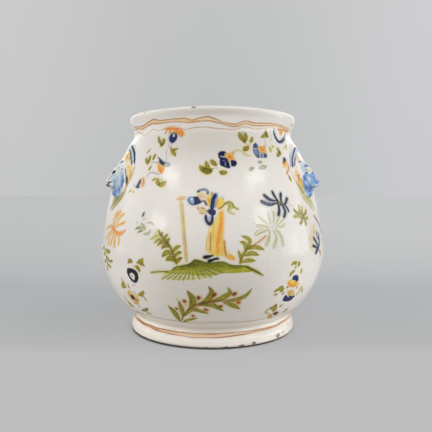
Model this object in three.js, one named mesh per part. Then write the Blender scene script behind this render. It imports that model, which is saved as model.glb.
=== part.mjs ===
// A tin-glazed earthenware baluster vase, thrown in four rings that are luted together at
// stepped seams, with press-moulded lion masks luted round its shoulder.
// Millimetres, +Z up. The origin is on the floor, in the middle of the foot.

import * as THREE from 'three';

// Heights, stacked from the floor up
const footHeight = 18; // floor to the waist
const bowlHeight = 74; // waist to the widest part of the belly
const shoulderHeight = 121.5; // belly to the root of the neck
const throatRise = 6; // root of the neck to the throat
const rimRise = 20.5; // throat to the top of the lip

// Outside radii, each tied to the one that it grows from
const waistRadius = 89.2;
const footSpread = 6.1; // how far the foot stands out past the waist
const bellyRadius = 128.7;
const throatRadius = 90.4;
const throatCove = 2.6; // how far the root of the neck stands out past the throat
const rimFlare = 4.6; // how far the lip stands out past the throat

// Lean of the wall, in degrees from upright, where its curves meet
const waistLean = 63;
const neckLean = 36.5;
const rimLean = 9;

// Fullness of each curve at its lower and upper end, as a share of the height that it climbs
const footFullness = [0.4, 0.3];
const bowlFullness = [0.4, 0.26];
const shoulderFullness = [0.15, 0.3];
const throatFullness = [0.4, 0.4];
const rimFullness = [0.35, 0.35];

// Clay
const wall = 6.5;
const lipThickness = 5;
const floorThickness = 12;
const restingWidth = 9; // flat ring that the vase stands on
const footTuck = 1.6; // how far the foot draws in under its edge
const footBulgeHeight = 5;

// Luted seams: each ring sits on the ledge of the one below, round or inside a tongue that it clears
const seatWidth = 9.5; // ledge of the foot that carries the bowl
const spigotDepth = 5; // stub of the bowl that drops inside the foot
const bellyLap = 5;
const neckLap = 4;
const slipGap = 0.3; // slip between a tongue and the ring round it
const boreBelowSpigot = 1; // upright bore left under the spigot before the recess widens

// Lion masks
const maskNames = ['mask_right', 'mask_back', 'mask_left']; // evenly spaced round the shoulder
const frontMaskTurn = -30; // degrees from +X to the mask on the front right
const maskBelowNeck = 35.5; // middle of a mask under the root of the neck
const maskHalfWidth = 31;
const maskHalfHeight = 28.5;
const maskEdge = 2; // thickness of the clay at the outline

// A mask seen from the side, from chin to crest: share of its half height, and how far it stands off
const maskProfile = [
  [-1, maskEdge],
  [-0.84, 7.4], // chin
  [-0.67, 8], // mouth
  [-0.54, 12.5], // lip
  [-0.32, 14.2], // nose
  [-0.07, 14.2],
  [0.14, 11], // brow
  [0.39, 7.5],
  [0.67, 4.5],
  [0.88, 6.5], // crest
  [1, maskEdge],
];

// Face, mane and features, placed by shares of the mask's half width and half height
const faceWidth = { middle: 0.42, ends: 0.29 };
const mane = { rim: 0.68, spread: 0.2, rise: 4.2, locks: 18, lockDepth: 0.8, lockRim: 0.75 };
const features = [
  { name: 'brow', across: 0.23, up: 0.1, wide: 0.15, tall: 0.09, rise: 2.4 },
  { name: 'eye', across: 0.24, up: -0.09, wide: 0.1, tall: 0.085, rise: -2.2 },
  { name: 'cheek', across: 0.29, up: -0.39, wide: 0.16, tall: 0.21, rise: 2.6 },
  { name: 'ear', across: 0.55, up: 0.53, wide: 0.15, tall: 0.18, rise: 3 },
];

// Facets
const turnedSides = 60;
const footSteps = 7;
const edgeSteps = 3;
const lipSteps = 4;
const maskSpokes = 36;
const maskRings = 10;
const maskBackRings = 4;
const maskProfileSteps = 60;

const waistZ = footHeight;
const bellyZ = waistZ + bowlHeight;
const neckZ = bellyZ + shoulderHeight;
const throatZ = neckZ + throatRise;
const rimZ = throatZ + rimRise;
const footRadius = waistRadius + footSpread;
const neckRadius = throatRadius + throatCove;
const lipRadius = throatRadius + rimFlare;
const lipRound = lipThickness / 2;
const lipRootZ = rimZ - lipRound;

// A curve between two [radius, height] points, leaning by the given degrees from upright at each
function leaningCurve([start, startLean], [end, endLean], [startReach, endReach]) {
  const climb = end[1] - start[1];
  const from = new THREE.Vector2(...start);
  const to = new THREE.Vector2(...end);
  const handle = (lean, length) => {
    const angle = THREE.MathUtils.degToRad(lean);
    return new THREE.Vector2(Math.sin(angle) * length, Math.cos(angle) * length);
  };
  const first = from.clone().add(handle(startLean, startReach * climb));
  const second = to.clone().sub(handle(endLean, endReach * climb));
  return new THREE.CubicBezierCurve(from, first, second, to);
}

const footEnds = [[[footRadius, footBulgeHeight], 0], [[waistRadius, waistZ], 0]];
const bowlEnds = [[[waistRadius, waistZ], waistLean], [[bellyRadius, bellyZ], 0]];
const shoulderEnds = [[[bellyRadius, bellyZ], 0], [[neckRadius, neckZ], -neckLean]];
const throatEnds = [[[neckRadius, neckZ], -neckLean], [[throatRadius, throatZ], 0]];
const rimEnds = [[[throatRadius, throatZ], 0], [[lipRadius, lipRootZ], rimLean]];

// The wall's curves from the waist to the lip, each with its number of straight steps
const wallCurves = [
  { curve: leaningCurve(...bowlEnds, bowlFullness), steps: 9 },
  { curve: leaningCurve(...shoulderEnds, shoulderFullness), steps: 10 },
  { curve: leaningCurve(...throatEnds, throatFullness), steps: 3 },
  { curve: leaningCurve(...rimEnds, rimFullness), steps: 4 },
];

// [radius, height] points up the wall, set in from its outside by inset
function wallLine(inset) {
  const line = [];
  wallCurves.forEach(({ curve, steps }, n) => {
    for (let i = n === 0 ? 0 : 1; i <= steps; i += 1) {
      const point = curve.getPoint(i / steps);
      const along = curve.getTangent(i / steps);
      line.push([point.x - along.y * inset, point.y + along.x * inset]);
    }
  });
  return line;
}

const outerWall = wallLine(0);
const innerWall = wallLine(wall);

// Radius at a height on a line that climbs, held level past its ends
function radiusOn(line, z) {
  const above = line.findIndex((point) => point[1] >= z);
  if (above === 0) return line[0][0];
  if (above < 0) return line[line.length - 1][0];
  const [r0, z0] = line[above - 1];
  const [r1, z1] = line[above];
  return r0 + ((r1 - r0) * (z - z0)) / (z1 - z0);
}

// The part of a wall line between two heights, in the order asked for
function stretch(line, fromZ, toZ) {
  const low = Math.min(fromZ, toZ);
  const high = Math.max(fromZ, toZ);
  const clear = 0.2; // leaves out points too close to an end
  const between = line.filter((point) => point[1] > low + clear && point[1] < high - clear);
  const points = [[radiusOn(line, low), low], ...between, [radiusOn(line, high), high]];
  return fromZ < toZ ? points : points.reverse();
}

const glaze = (color, roughness) => new THREE.MeshStandardMaterial({ color, roughness, metalness: 0 });
const materials = {
  foot: glaze('#e6e1da', 0.3),
  lowerBody: glaze('#e4e1dc', 0.16),
  upperBody: glaze('#e6e4df', 0.16),
  neck: glaze('#e3e0d8', 0.18),
  mask: glaze('#8fb0d4', 0.2),
};

function turnedPiece(name, profile, material) {
  const points = profile.map(([radius, height]) => new THREE.Vector2(radius, height));
  const geometry = new THREE.LatheGeometry(points, turnedSides);
  geometry.rotateX(Math.PI / 2);
  const piece = new THREE.Mesh(geometry, material);
  piece.name = name;
  return piece;
}

// Foot: a spreading ring, hollow underneath, with a ledge on top for the bowl
const spigotRadius = waistRadius - seatWidth;
const spigotZ = waistZ - spigotDepth;
const boreRadius = spigotRadius + slipGap;

function footRing() {
  const edge = [];
  for (let i = 0; i < edgeSteps; i += 1) {
    const angle = (i / edgeSteps) * (Math.PI / 2);
    edge.push([footRadius - footTuck * (1 - Math.sin(angle)), footBulgeHeight * (1 - Math.cos(angle))]);
  }
  const flare = leaningCurve(...footEnds, footFullness).getPoints(footSteps);
  const start = edge[0];
  const profile = [
    ...edge,
    ...flare.map((point) => [point.x, point.y]),
    [boreRadius, waistZ],
    [boreRadius, spigotZ - boreBelowSpigot],
    [start[0] - restingWidth, 0],
    start,
  ];
  return turnedPiece('foot_ring', profile, materials.foot);
}

// Lower body: a bowl with a floor, a spigot in the foot and a tongue at the belly
const floorZ = spigotZ + floorThickness;
const bellyTongueRadius = bellyRadius - wall / 2;
const bellyTongueZ = bellyZ + bellyLap;

function lowerBody() {
  const profile = [
    [0, spigotZ],
    [spigotRadius, spigotZ],
    [spigotRadius, waistZ],
    ...stretch(outerWall, waistZ, bellyZ),
    [bellyTongueRadius, bellyZ],
    [bellyTongueRadius, bellyTongueZ],
    ...stretch(innerWall, bellyTongueZ, floorZ),
    [0, floorZ],
  ];
  return turnedPiece('lower_body', profile, materials.lowerBody);
}

// Upper body: the shoulder, skirted over the belly tongue, with a tongue for the neck
const neckTongueRadius = (radiusOn(outerWall, neckZ) + radiusOn(innerWall, neckZ)) / 2;
const neckTongueZ = neckZ + neckLap;

function upperBody() {
  const skirtRadius = bellyTongueRadius + slipGap;
  const skirtZ = bellyTongueZ + slipGap;
  const profile = [
    [skirtRadius, bellyZ],
    ...stretch(outerWall, bellyZ, neckZ),
    [neckTongueRadius, neckZ],
    [neckTongueRadius, neckTongueZ],
    ...stretch(innerWall, neckTongueZ, skirtZ),
    [skirtRadius, skirtZ],
    [skirtRadius, bellyZ],
  ];
  return turnedPiece('upper_body', profile, materials.upperBody);
}

// Neck collar: a short waisted neck that flares to a rolled lip
function neckCollar() {
  const skirtRadius = neckTongueRadius + slipGap;
  const skirtZ = neckTongueZ + slipGap;
  const lipMiddle = lipRadius - lipRound;
  const roll = [];
  for (let i = 1; i <= lipSteps; i += 1) {
    const angle = (i / lipSteps) * Math.PI;
    roll.push([lipMiddle + lipRound * Math.cos(angle), lipRootZ + lipRound * Math.sin(angle)]);
  }
  const inside = innerWall.filter((point) => point[1] > skirtZ && point[1] < lipRootZ - lipRound);
  const profile = [
    [skirtRadius, neckZ],
    ...stretch(outerWall, neckZ, lipRootZ),
    ...roll,
    ...inside.reverse(),
    [radiusOn(innerWall, skirtZ), skirtZ],
    [skirtRadius, skirtZ],
    [skirtRadius, neckZ],
  ];
  return turnedPiece('neck_collar', profile, materials.neck);
}

const profileCurve = new THREE.SplineCurve(maskProfile.map((point) => new THREE.Vector2(...point)));
const profileLine = profileCurve.getPoints(maskProfileSteps).map((point) => [point.y, point.x]);

// How far a mask stands off the wall. across and up are shares of its half width and half height,
// rim is 0 in the middle and 1 at the outline, and angle runs round it.
function maskRelief(across, up, rim, angle) {
  const halfFace = faceWidth.middle - (faceWidth.middle - faceWidth.ends) * up * up;
  const face = (radiusOn(profileLine, up) - maskEdge) * Math.exp(-((across / halfFace) ** 2));
  const roll = mane.rise * Math.exp(-(((rim - mane.rim) / mane.spread) ** 2));
  const lockFade = Math.max(0, 1 - Math.abs(rim - mane.lockRim) / mane.spread);
  let off = Math.max(face, roll) + mane.lockDepth * Math.cos(mane.locks * angle) * lockFade;
  features.forEach((part) => {
    const aside = (Math.abs(across) - part.across) / part.wide;
    const above = (up - part.up) / part.tall;
    off += part.rise * Math.exp(-(aside ** 2) - above ** 2);
  });
  const edgeFade = 1 - rim ** 6;
  return maskEdge + edgeFade * off;
}

// Points of a mask: a middle point, then rings of spokes, standing off the wall as offAt says
function maskDisc(rings, offAt) {
  const middleZ = neckZ - maskBelowNeck;
  const points = [];
  const place = (across, up, off) => {
    const z = middleZ + up * maskHalfHeight;
    const wallRadius = radiusOn(outerWall, z) + slipGap;
    const turn = (across * maskHalfWidth) / wallRadius;
    points.push((wallRadius + off) * Math.cos(turn), (wallRadius + off) * Math.sin(turn), z);
  };
  place(0, 0, offAt(0, 0, 0, 0));
  for (let ring = 1; ring <= rings; ring += 1) {
    for (let spoke = 0; spoke < maskSpokes; spoke += 1) {
      const rim = ring / rings;
      const angle = (spoke / maskSpokes) * 2 * Math.PI;
      const across = rim * Math.cos(angle);
      const up = rim * Math.sin(angle);
      place(across, up, offAt(across, up, rim, angle));
    }
  }
  return points;
}

// A closed shell of two discs: the relief in front, and the luted back that follows the wall
function maskGeometry() {
  const front = maskDisc(maskRings, maskRelief);
  const back = maskDisc(maskBackRings, () => 0);
  const backStart = front.length / 3;
  const faces = [];
  const vertex = (start, ring, spoke) => {
    if (ring === 0) return start;
    return start + 1 + (ring - 1) * maskSpokes + (spoke % maskSpokes);
  };
  const fill = (start, rings, facesOut) => {
    const add = (a, b, c) => faces.push(...(facesOut ? [a, b, c] : [a, c, b]));
    for (let ring = 0; ring < rings; ring += 1) {
      for (let spoke = 0; spoke < maskSpokes; spoke += 1) {
        const inner = vertex(start, ring, spoke);
        const outer = vertex(start, ring + 1, spoke);
        const next = vertex(start, ring + 1, spoke + 1);
        add(inner, outer, next);
        if (ring > 0) add(inner, next, vertex(start, ring, spoke + 1));
      }
    }
  };
  fill(0, maskRings, true);
  fill(backStart, maskBackRings, false);
  for (let spoke = 0; spoke < maskSpokes; spoke += 1) {
    const frontHere = vertex(0, maskRings, spoke);
    const frontNext = vertex(0, maskRings, spoke + 1);
    const backHere = vertex(backStart, maskBackRings, spoke);
    const backNext = vertex(backStart, maskBackRings, spoke + 1);
    faces.push(frontHere, backHere, backNext, frontHere, backNext, frontNext);
  }

  const geometry = new THREE.BufferGeometry();
  geometry.setAttribute('position', new THREE.Float32BufferAttribute([...front, ...back], 3));
  geometry.setIndex(faces);
  geometry.computeVertexNormals();
  return geometry;
}

function masks() {
  const group = new THREE.Group();
  const geometry = maskGeometry();
  maskNames.forEach((name, n) => {
    const mask = new THREE.Mesh(geometry, materials.mask);
    mask.name = name;
    mask.rotation.z = THREE.MathUtils.degToRad(frontMaskTurn + (n * 360) / maskNames.length);
    group.add(mask);
  });
  return group;
}

const vase = new THREE.Group();
vase.add(footRing(), lowerBody(), upperBody(), neckCollar(), masks());

export default vase;
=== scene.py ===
import math
import bpy
import numpy as np
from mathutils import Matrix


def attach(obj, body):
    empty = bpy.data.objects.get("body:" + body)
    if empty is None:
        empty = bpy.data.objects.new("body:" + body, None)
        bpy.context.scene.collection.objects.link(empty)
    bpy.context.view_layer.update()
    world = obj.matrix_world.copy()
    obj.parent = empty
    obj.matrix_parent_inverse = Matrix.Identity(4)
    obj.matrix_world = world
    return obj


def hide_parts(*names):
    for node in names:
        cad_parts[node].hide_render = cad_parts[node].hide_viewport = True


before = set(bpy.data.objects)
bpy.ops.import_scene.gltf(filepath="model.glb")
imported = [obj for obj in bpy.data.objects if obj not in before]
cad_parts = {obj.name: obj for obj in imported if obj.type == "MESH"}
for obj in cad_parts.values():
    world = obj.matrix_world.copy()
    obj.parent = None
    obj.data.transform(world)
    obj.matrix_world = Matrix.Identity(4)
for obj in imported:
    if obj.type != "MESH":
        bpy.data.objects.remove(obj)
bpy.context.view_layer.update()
mm = 0.001

# The pot's shape in millimetres: the radius and height of the rings that its outline passes through
footSide, footTop, widest = (95.3, 5), (89.2, 18), (128.7, 92)
neckRoot, throat, rimSide = (93, 213.5), (90.4, 219.5), (95, 237.5)
potHeight = 240
# Each stretch: its start, the lean there in degrees, its end, the lean there, and how full it is at both
outline = {
    "foot": (footSide, 0, footTop, 0, 0.4, 0.3),
    "bowl": (footTop, 63, widest, 0, 0.4, 0.26),
    "shoulder": (widest, 0, neckRoot, -36.5, 0.15, 0.3),
    "throat": (neckRoot, -36.5, throat, 0, 0.4, 0.4),
    "rim": (throat, 0, rimSide, 9, 0.35, 0.35),
}
pot = {
    "columns": 1296,        # around
    "grain": 0.6,           # spacing of the rows up the outside
    "softening": 1.0,       # how far glaze rounds the crease over the foot
    "creaseReach": 6,       # and how far from the crease it does
    "wall": 6.5,
    "footRound": 1.6,
    "lipRound": 2.5,
    "insideStep": 4,
    "wobble": 0.22,         # thrown by hand
    "throwingLines": 0.012,
    "rimRise": 0.3,         # the rim runs out of true, from this height up
    "rimRiseFrom": 205,
}


# one stretch of the outline, as a curve with a handle at each end
def curveBetween(start, startLean, end, endLean, startReach, endReach):
    climb = end[1] - start[1]

    def handle(lean, length):
        return np.array([math.sin(math.radians(lean)), math.cos(math.radians(lean))]) * length

    a, d = np.array(start, float), np.array(end, float)
    b, c = a + handle(startLean, startReach * climb), d - handle(endLean, endReach * climb)
    t = np.linspace(0, 1, 300)[:, None]
    return (1 - t) ** 3 * a + 3 * (1 - t) ** 2 * t * b + 3 * (1 - t) * t * t * c + t ** 3 * d


# the same line with its points at even steps
def evenly(points, step):
    points = np.asarray(points, float)
    gaps = np.hypot(*np.diff(points, axis=0).T)
    points = points[np.r_[True, gaps > 1e-6]]
    along = np.r_[0, np.cumsum(np.hypot(*np.diff(points, axis=0).T))]
    n = max(2, int(round(along[-1] / step)) + 1)
    at = np.linspace(0, along[-1], n)
    return np.stack([np.interp(at, along, points[:, 0]), np.interp(at, along, points[:, 1])], 1)


# the same line with its corners rounded
def softened(line):
    reach = int(3 * pot["softening"] / pot["grain"])
    kernel = np.exp(-0.5 * (np.arange(-reach, reach + 1) * pot["grain"] / pot["softening"]) ** 2)
    kernel /= kernel.sum()
    padded = np.vstack([np.repeat(line[:1], reach, 0), line, np.repeat(line[-1:], reach, 0)])
    return np.stack([np.convolve(padded[:, k], kernel, "valid") for k in (0, 1)], 1)


turn = np.linspace(0, math.pi / 2, 12)
footEdge = np.stack([footSide[0] - pot["footRound"] * (1 - np.sin(turn)),
                     footSide[1] * (1 - np.cos(turn))], 1)
turn = np.linspace(0, math.pi, 24)
lipMiddle = rimSide[0] - pot["lipRound"]
lip = np.stack([lipMiddle + pot["lipRound"] * np.cos(turn), rimSide[1] + pot["lipRound"] * np.sin(turn)], 1)
stretches = [curveBetween(*stretch) for stretch in outline.values()]
rows = evenly(np.vstack([footEdge, *stretches, lip]), pot["grain"])
creased = np.abs(rows[:, 1] - footTop[1]) < pot["creaseReach"]
rows = np.where(creased[:, None], softened(rows), rows)
rowR, rowZ = rows.T
rowS = np.r_[0, np.cumsum(np.hypot(*np.diff(rows, axis=0).T))]      # distance up the outside
nRows, nCols = len(rows), pot["columns"]
topRow = int(np.argmax(rowZ))
waist, belly, neck = (int(np.argmin(np.abs(rowZ[:topRow] - z))) for _, z in (footTop, widest, neckRoot))
colTurn = np.linspace(0, 2 * math.pi, nCols, endpoint=False)   # 0 is the front, and it grows to the right
fromFront = (colTurn + math.pi) % (2 * math.pi) - math.pi


def radiusAt(z):
    return np.interp(z, rowZ[:topRow], rowR[:topRow])


def alongAt(z):
    return np.interp(z, rowZ[:topRow], rowS[:topRow])


print("shape:", nRows, "rows and", nCols, "columns")

# The camera's place, which the painting is also laid out from
view = {
    "frame": 432,        # pixels across the photograph
    "focal": 474.5,      # in the same pixels
    "middle": 216,
    "axisColumn": 212.5,
    "distance": 561.8,   # millimetres from the pot's axis
    "height": 157.0,
    "down": 3.01,        # degrees
    "reach": (400, 600, 1601),      # how near and how far along a ray the pot is looked for, and the steps
}
pitch = math.radians(view["down"])


# where points of the photograph lie on the pot: turns in radians, and distances up the outside.
# The points may be read from an enlargement, with its corner and how many times it enlarges.
def onPot(points, corner=(0, 0), times=1):
    p = np.array(points, float).reshape(-1, 2)
    x = (corner[0] + p[:, 0] / times - view["axisColumn"]) / view["focal"]
    y = (view["middle"] - (corner[1] + p[:, 1] / times)) / view["focal"]
    ahead = np.array([0, math.cos(pitch), -math.sin(pitch)])
    up = np.array([0, math.sin(pitch), math.cos(pitch)])
    ray = ahead + x[:, None] * np.array([1.0, 0, 0]) + y[:, None] * up
    eye = np.array([0, -view["distance"], view["height"]])
    place = eye + np.linspace(*view["reach"])[None, :, None] * ray[:, None, :]
    off = np.hypot(place[..., 0], place[..., 1]) - radiusAt(place[..., 2])
    off[(place[..., 2] < 0) | (place[..., 2] > potHeight)] = 50      # never a hit
    hit = np.argmax(off < 0, axis=1)
    missed = off.min(axis=1) > 0
    hit[missed] = np.argmin(off[missed], axis=1)
    spot = place[np.arange(len(hit)), hit]
    return np.arctan2(spot[:, 0], -spot[:, 1]), alongAt(spot[:, 2])


# where the camera sees a place given in mm: column and row
def seenAt(x, y, z):
    y, z = y + view["distance"], z - view["height"]
    depth = y * math.cos(pitch) - z * math.sin(pitch)
    rise = y * math.sin(pitch) + z * math.cos(pitch)
    return view["axisColumn"] + view["focal"] * x / depth, view["middle"] - view["focal"] * rise / depth


# Pigments, as they look over white glaze. Above 255 one is a little brighter than the white under it.
pigments = {
    "olive": (146, 138, 24), "deepGreen": (84, 98, 14), "leaf": (172, 178, 46), "lime": (180, 186, 36),
    "paleGreen": (190, 194, 130), "greyGreen": (170, 174, 140), "navy": (2, 34, 104), "midnight": (6, 28, 66),
    "blue": (66, 108, 190), "bright": (88, 146, 232), "sky": (140, 180, 226), "greyBlue": (112, 130, 168),
    "aqua": (206, 226, 222), "orange": (274, 164, 16), "amber": (260, 198, 94), "gold": (294, 222, 98),
    "yellow": (250, 214, 126), "ochre": (206, 156, 70), "straw": (248, 240, 186), "peach": (250, 214, 172),
    "flesh": (240, 200, 176), "bandFill": (255, 221, 170), "tan": (198, 138, 76), "rust": (212, 134, 82),
    "berry": (168, 92, 46), "brown": (160, 104, 62), "umber": (84, 40, 8), "mauve": (150, 118, 132),
    "ink": (12, 15, 26),
}


def toLinear(rgb):
    c = np.asarray(rgb, float) / 255
    return np.where(c <= 0.04045, c / 12.92, ((c + 0.055) / 1.055) ** 2.4)


absorbs = {name: -np.log(np.clip(toLinear(rgb), 0.004, 1.4)) for name, rgb in pigments.items()}

paint = np.ones((nRows, nCols, 3))
bareClay = np.zeros((nRows, nCols))
worn = np.zeros((nRows, nCols))        # millimetres lost to chips
rng = np.random.default_rng(11)
girth = 760        # roughly once around the pot, in millimetres


# a soft random field with blobs of the given size, over a stretch of length by around millimetres
def cloud(spacing, height, width, length, around=girth):
    down, across = max(3, int(length / spacing)), max(3, int(around / spacing))
    grid = rng.random((down + 2, across))
    grid = np.concatenate([grid, grid[:, :1]], 1)
    y, x = np.linspace(0, down, height), np.linspace(0, across, width, endpoint=False)
    yi, xi = y.astype(int), x.astype(int)
    yf, xf = eased(y - yi)[:, None], eased(x - xi)[None, :]
    top = grid[yi][:, xi] * (1 - xf) + grid[yi][:, xi + 1] * xf
    low = grid[yi + 1][:, xi] * (1 - xf) + grid[yi + 1][:, xi + 1] * xf
    return top * (1 - yf) + low * yf


# one value per column, drifting softly around the pot
def drifting(spacing, around=girth):
    return cloud(spacing, 2, nCols, 3, around)[0]


def eased(t):
    return t * t * (3 - 2 * t)


granular = 0.5 * cloud(1.4, nRows, nCols, rowS[-1]) + 0.5 * cloud(4.5, nRows, nCols, rowS[-1])

# how full a stroke is from its start to its end
brushes = {
    "line": lambda t: np.clip(np.minimum(t, 1 - t) * 9 + 0.35, 0, 1),
    "leaf": lambda t: np.sin(math.pi * np.clip(t, 0.02, 0.98)) ** 0.75,
    "drop": lambda t: (0.25 + 0.75 * t ** 0.8) * np.sqrt(np.clip(1 - t ** 9, 0.03, 1)),
    "dot": lambda t: np.ones_like(t),
    "ray": lambda t: (0.6 + 0.4 * t ** 0.5) * np.sqrt(np.clip(1 - t ** 12, 0.03, 1)),
}
brushes["petal"] = brushes["drop"]
hand = {
    "soft": 0.8, "spacing": 1.1, "press": 1.32,
    "spread": 0.35,         # how far a wash runs past its outline
    "grain": 0.5,           # how uneven the colour lies
    "gathers": 0.18,        # how much of it is carried to the stroke's end
    "wet": 0.45,            # how much wet colours run together
    "poolAt": 0.35, "poolWidth": 0.55,      # from the edge of the stroke inwards
    # how much colour lies in a stroke, and how much more pools along its edge
    "pools": {"line": (0.86, 0.28), "leaf": (0.72, 0.5), "drop": (0.84, 0.4), "petal": (0.36, 1.6)},
    "halo": 0.05, "warmHalo": 0.9, "haloWidth": 3.0, "haloSoft": 2.4, "haloFrom": 0.45,
}
# the pale warm edge that some pigments bleed into the glaze
bleeds = {name: "straw" for name in ("olive", "deepGreen", "leaf", "lime", "ochre", "gold")}
bleeds.update({name: "peach" for name in ("brown", "umber", "orange", "rust", "berry", "tan", "amber")})


# the groups name a pigment and a brush, and then give the width, the load and the points of every touch
def eachTouch(groups):
    for kind, *touches in groups:
        pigment, brush = kind.split()
        for width, load, *points in touches:
            yield pigment, brush, width, load, points


# a smooth line through the points, which are only as many as its shape needs
def smoothLine(x, y, step):
    if len(x) == 1:
        return np.array([x[0], x[0] + 1e-4]), np.array([y[0], y[0]])
    p = np.stack([x, y], 1)
    p = np.vstack([2 * p[0] - p[1], p, 2 * p[-1] - p[-2]])
    out = []
    for k in range(1, len(p) - 2):
        n = max(2, int(math.dist(p[k], p[k + 1]) / step) + 1)
        t = np.linspace(0, 1, n, endpoint=False)[:, None]
        out.append(0.5 * (2 * p[k] + (p[k + 1] - p[k - 1]) * t
                          + (2 * p[k - 1] - 5 * p[k] + 4 * p[k + 1] - p[k + 2]) * t ** 2
                          + (3 * p[k] - 3 * p[k + 1] + p[k + 2] - p[k - 1]) * t ** 3))
    out.append(p[-2:-1])
    line = np.vstack(out)
    return line[:, 0], line[:, 1]


def toSegment(X, Y, x0, y0, x1, y1):
    dx, dy = x1 - x0, y1 - y0
    t = np.clip(((X - x0) * dx + (Y - y0) * dy) / (dx * dx + dy * dy + 1e-12), 0, 1)
    return np.hypot(X - x0 - t * dx, Y - y0 - t * dy), t


# how deep the places X, Y lie in a filled outline
def depthInWash(X, Y, x, y):
    inside = np.zeros(X.shape, bool)
    near = np.full(X.shape, 1e9)
    for k in range(len(x)):
        x0, y0, x1, y1 = x[k - 1], y[k - 1], x[k], y[k]
        crosses = (y0 > Y) != (y1 > Y)
        inside ^= crosses & (X < (x1 - x0) * (Y - y0) / (y1 - y0 + 1e-12) + x0)
        near = np.minimum(near, toSegment(X, Y, x0, y0, x1, y1)[0])
    return np.where(inside, near, -near) + hand["spread"]


# how deep they lie in a stroke, and how far along it
def depthInStroke(X, Y, x, y, half):
    depth = np.full(X.shape, -1e9)
    share = np.zeros(X.shape)
    for k in range(len(x) - 1):
        far, t = toSegment(X, Y, x[k], y[k], x[k + 1], y[k + 1])
        deep = half[k] * (1 - t) + half[k + 1] * t - far
        better = deep > depth
        depth = np.where(better, deep, depth)
        share = np.where(better, (k + t) / (len(x) - 1), share)
    return depth, share


# colours the places X, Y (mm) with one touch of the brush
def touch(X, Y, colour, grain, pigment, brush, width, load, x, y, softness=hand["soft"]):
    if brush == "wash":
        depth, share = depthInWash(X, Y, x, y), 0
    else:
        depth, share = depthInStroke(X, Y, x, y, width / 2 * brushes[brush](np.linspace(0, 1, len(x))))
    cover = eased(np.clip(0.5 + depth / softness, 0, 1))[..., None]
    if pigment == "bare":
        cover = cover * min(load, 1)
        colour[:] = colour * (1 - cover) + cover
        return
    rim = np.exp(-((depth - hand["poolAt"]) / hand["poolWidth"]) ** 2)
    body, pool = hand["pools"].get(brush, hand["pools"]["line"])
    amount = load * (body + hand["grain"] * (grain - 0.5) + pool * rim + hand["gathers"] * (share - 0.5))
    stain = np.exp(-absorbs[pigment] * np.clip(amount, 0.02, 3)[..., None])
    passed = 1 - cover * (1 - stain)
    colour[:] = hand["wet"] * colour * passed + (1 - hand["wet"]) * np.minimum(colour, passed)


# one touch on the pot: turns in radians and distances up the outside in mm
def touchPot(pigment, brush, width, load, turns, alongs):
    middle = 0.5 * (turns.min() + turns.max())
    around = np.interp(alongs, rowS, rowR)
    x, y = (turns - middle) * around, alongs
    if brush != "wash":
        x, y = smoothLine(x, y, hand["spacing"])
    edge = (0 if brush == "wash" else width / 2) + 1.5 + hand["haloWidth"]
    r0, r1 = np.searchsorted(rowS, [y.min() - edge, y.max() + edge])
    if r1 <= r0:
        return
    smallest = rowR[r0:r1].min()
    half = (max(abs(x.min()), abs(x.max())) + edge) / smallest
    step = 2 * math.pi / nCols
    c0, c1 = int((middle - half) / step) - 1, int((middle + half) / step) + 2
    picked = np.arange(c0, c1)
    X = (picked * step - middle)[None, :] * rowR[r0:r1, None]
    Y = np.broadcast_to(rowS[r0:r1, None], X.shape)
    patch = np.ix_(np.arange(r0, r1), picked % nCols)
    part = paint[patch]
    if pigment != "bare" and load > hand["haloFrom"]:
        faint = load * (hand["warmHalo"] if pigment in bleeds else hand["halo"])
        touch(X, Y, part, granular[patch], bleeds.get(pigment, pigment), brush, width + hand["haloWidth"],
              faint, x, y, hand["haloSoft"])
    touch(X, Y, part, granular[patch], pigment, brush, width, load, x, y)
    paint[patch] = part


# Enlargements of the photograph that the sprigs were read from: the corner's column and row, and how
# many times
enlarged = {
    "topLeft": (90, 95, 13.07), "topRight": (180, 95, 10.45),
    "left": (90, 180, 13.07), "right": (190, 160, 11.2),
    "walker": (174, 183, 18.02), "mound": (144, 256, 12.25), "branch": (156, 283, 15.08),
    "lowLeft": (112, 255, 22.4), "lowRight": (250, 255, 22.4),
}

# The thin rays of the orange flower, the tips of the grass under the mound and the touches that draw a
# blade (width, load), and the fruit on the branch (size, column, row)
thinRays = ((302, 618, 330, 540, 362, 470, 412, 398), (312, 620, 360, 550, 400, 480, 452, 440),
    (320, 628, 370, 590, 420, 570, 464, 544), (300, 610, 306, 540, 330, 470, 372, 408),
    (292, 606, 268, 590), (290, 622, 250, 612, 216, 640), (296, 640, 250, 700, 214, 772),
    (300, 650, 268, 720, 244, 800, 232, 850), (308, 655, 300, 740, 262, 858),
    (318, 660, 326, 770, 314, 885), (330, 672, 376, 760, 368, 858))
grassTips = ((213, 288), (248, 280), (282, 292), (316, 286), (350, 298), (382, 290), (414, 300), (446, 292),
    (478, 302), (510, 292), (540, 300), (572, 290), (604, 298), (642, 284), (684, 290), (722, 270),
    (760, 268), (798, 258), (830, 268), (864, 244), (902, 236), (938, 222), (982, 210))
grassRoot = (590, 70)
grassInks = (("olive drop", 11, 0.9), ("bare drop", 7, 0.5),
             ("deepGreen drop", 9, 0.75), ("bare drop", 6, 0.4))
berries = ((42, 310, 388), (50, 430, 274), (58, 642, 224), (46, 888, 172), (40, 866, 192), (50, 1170, 170),
    (38, 1196, 158), (44, 978, 350), (40, 745, 400), (26, 775, 408), (42, 556, 496))

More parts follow.
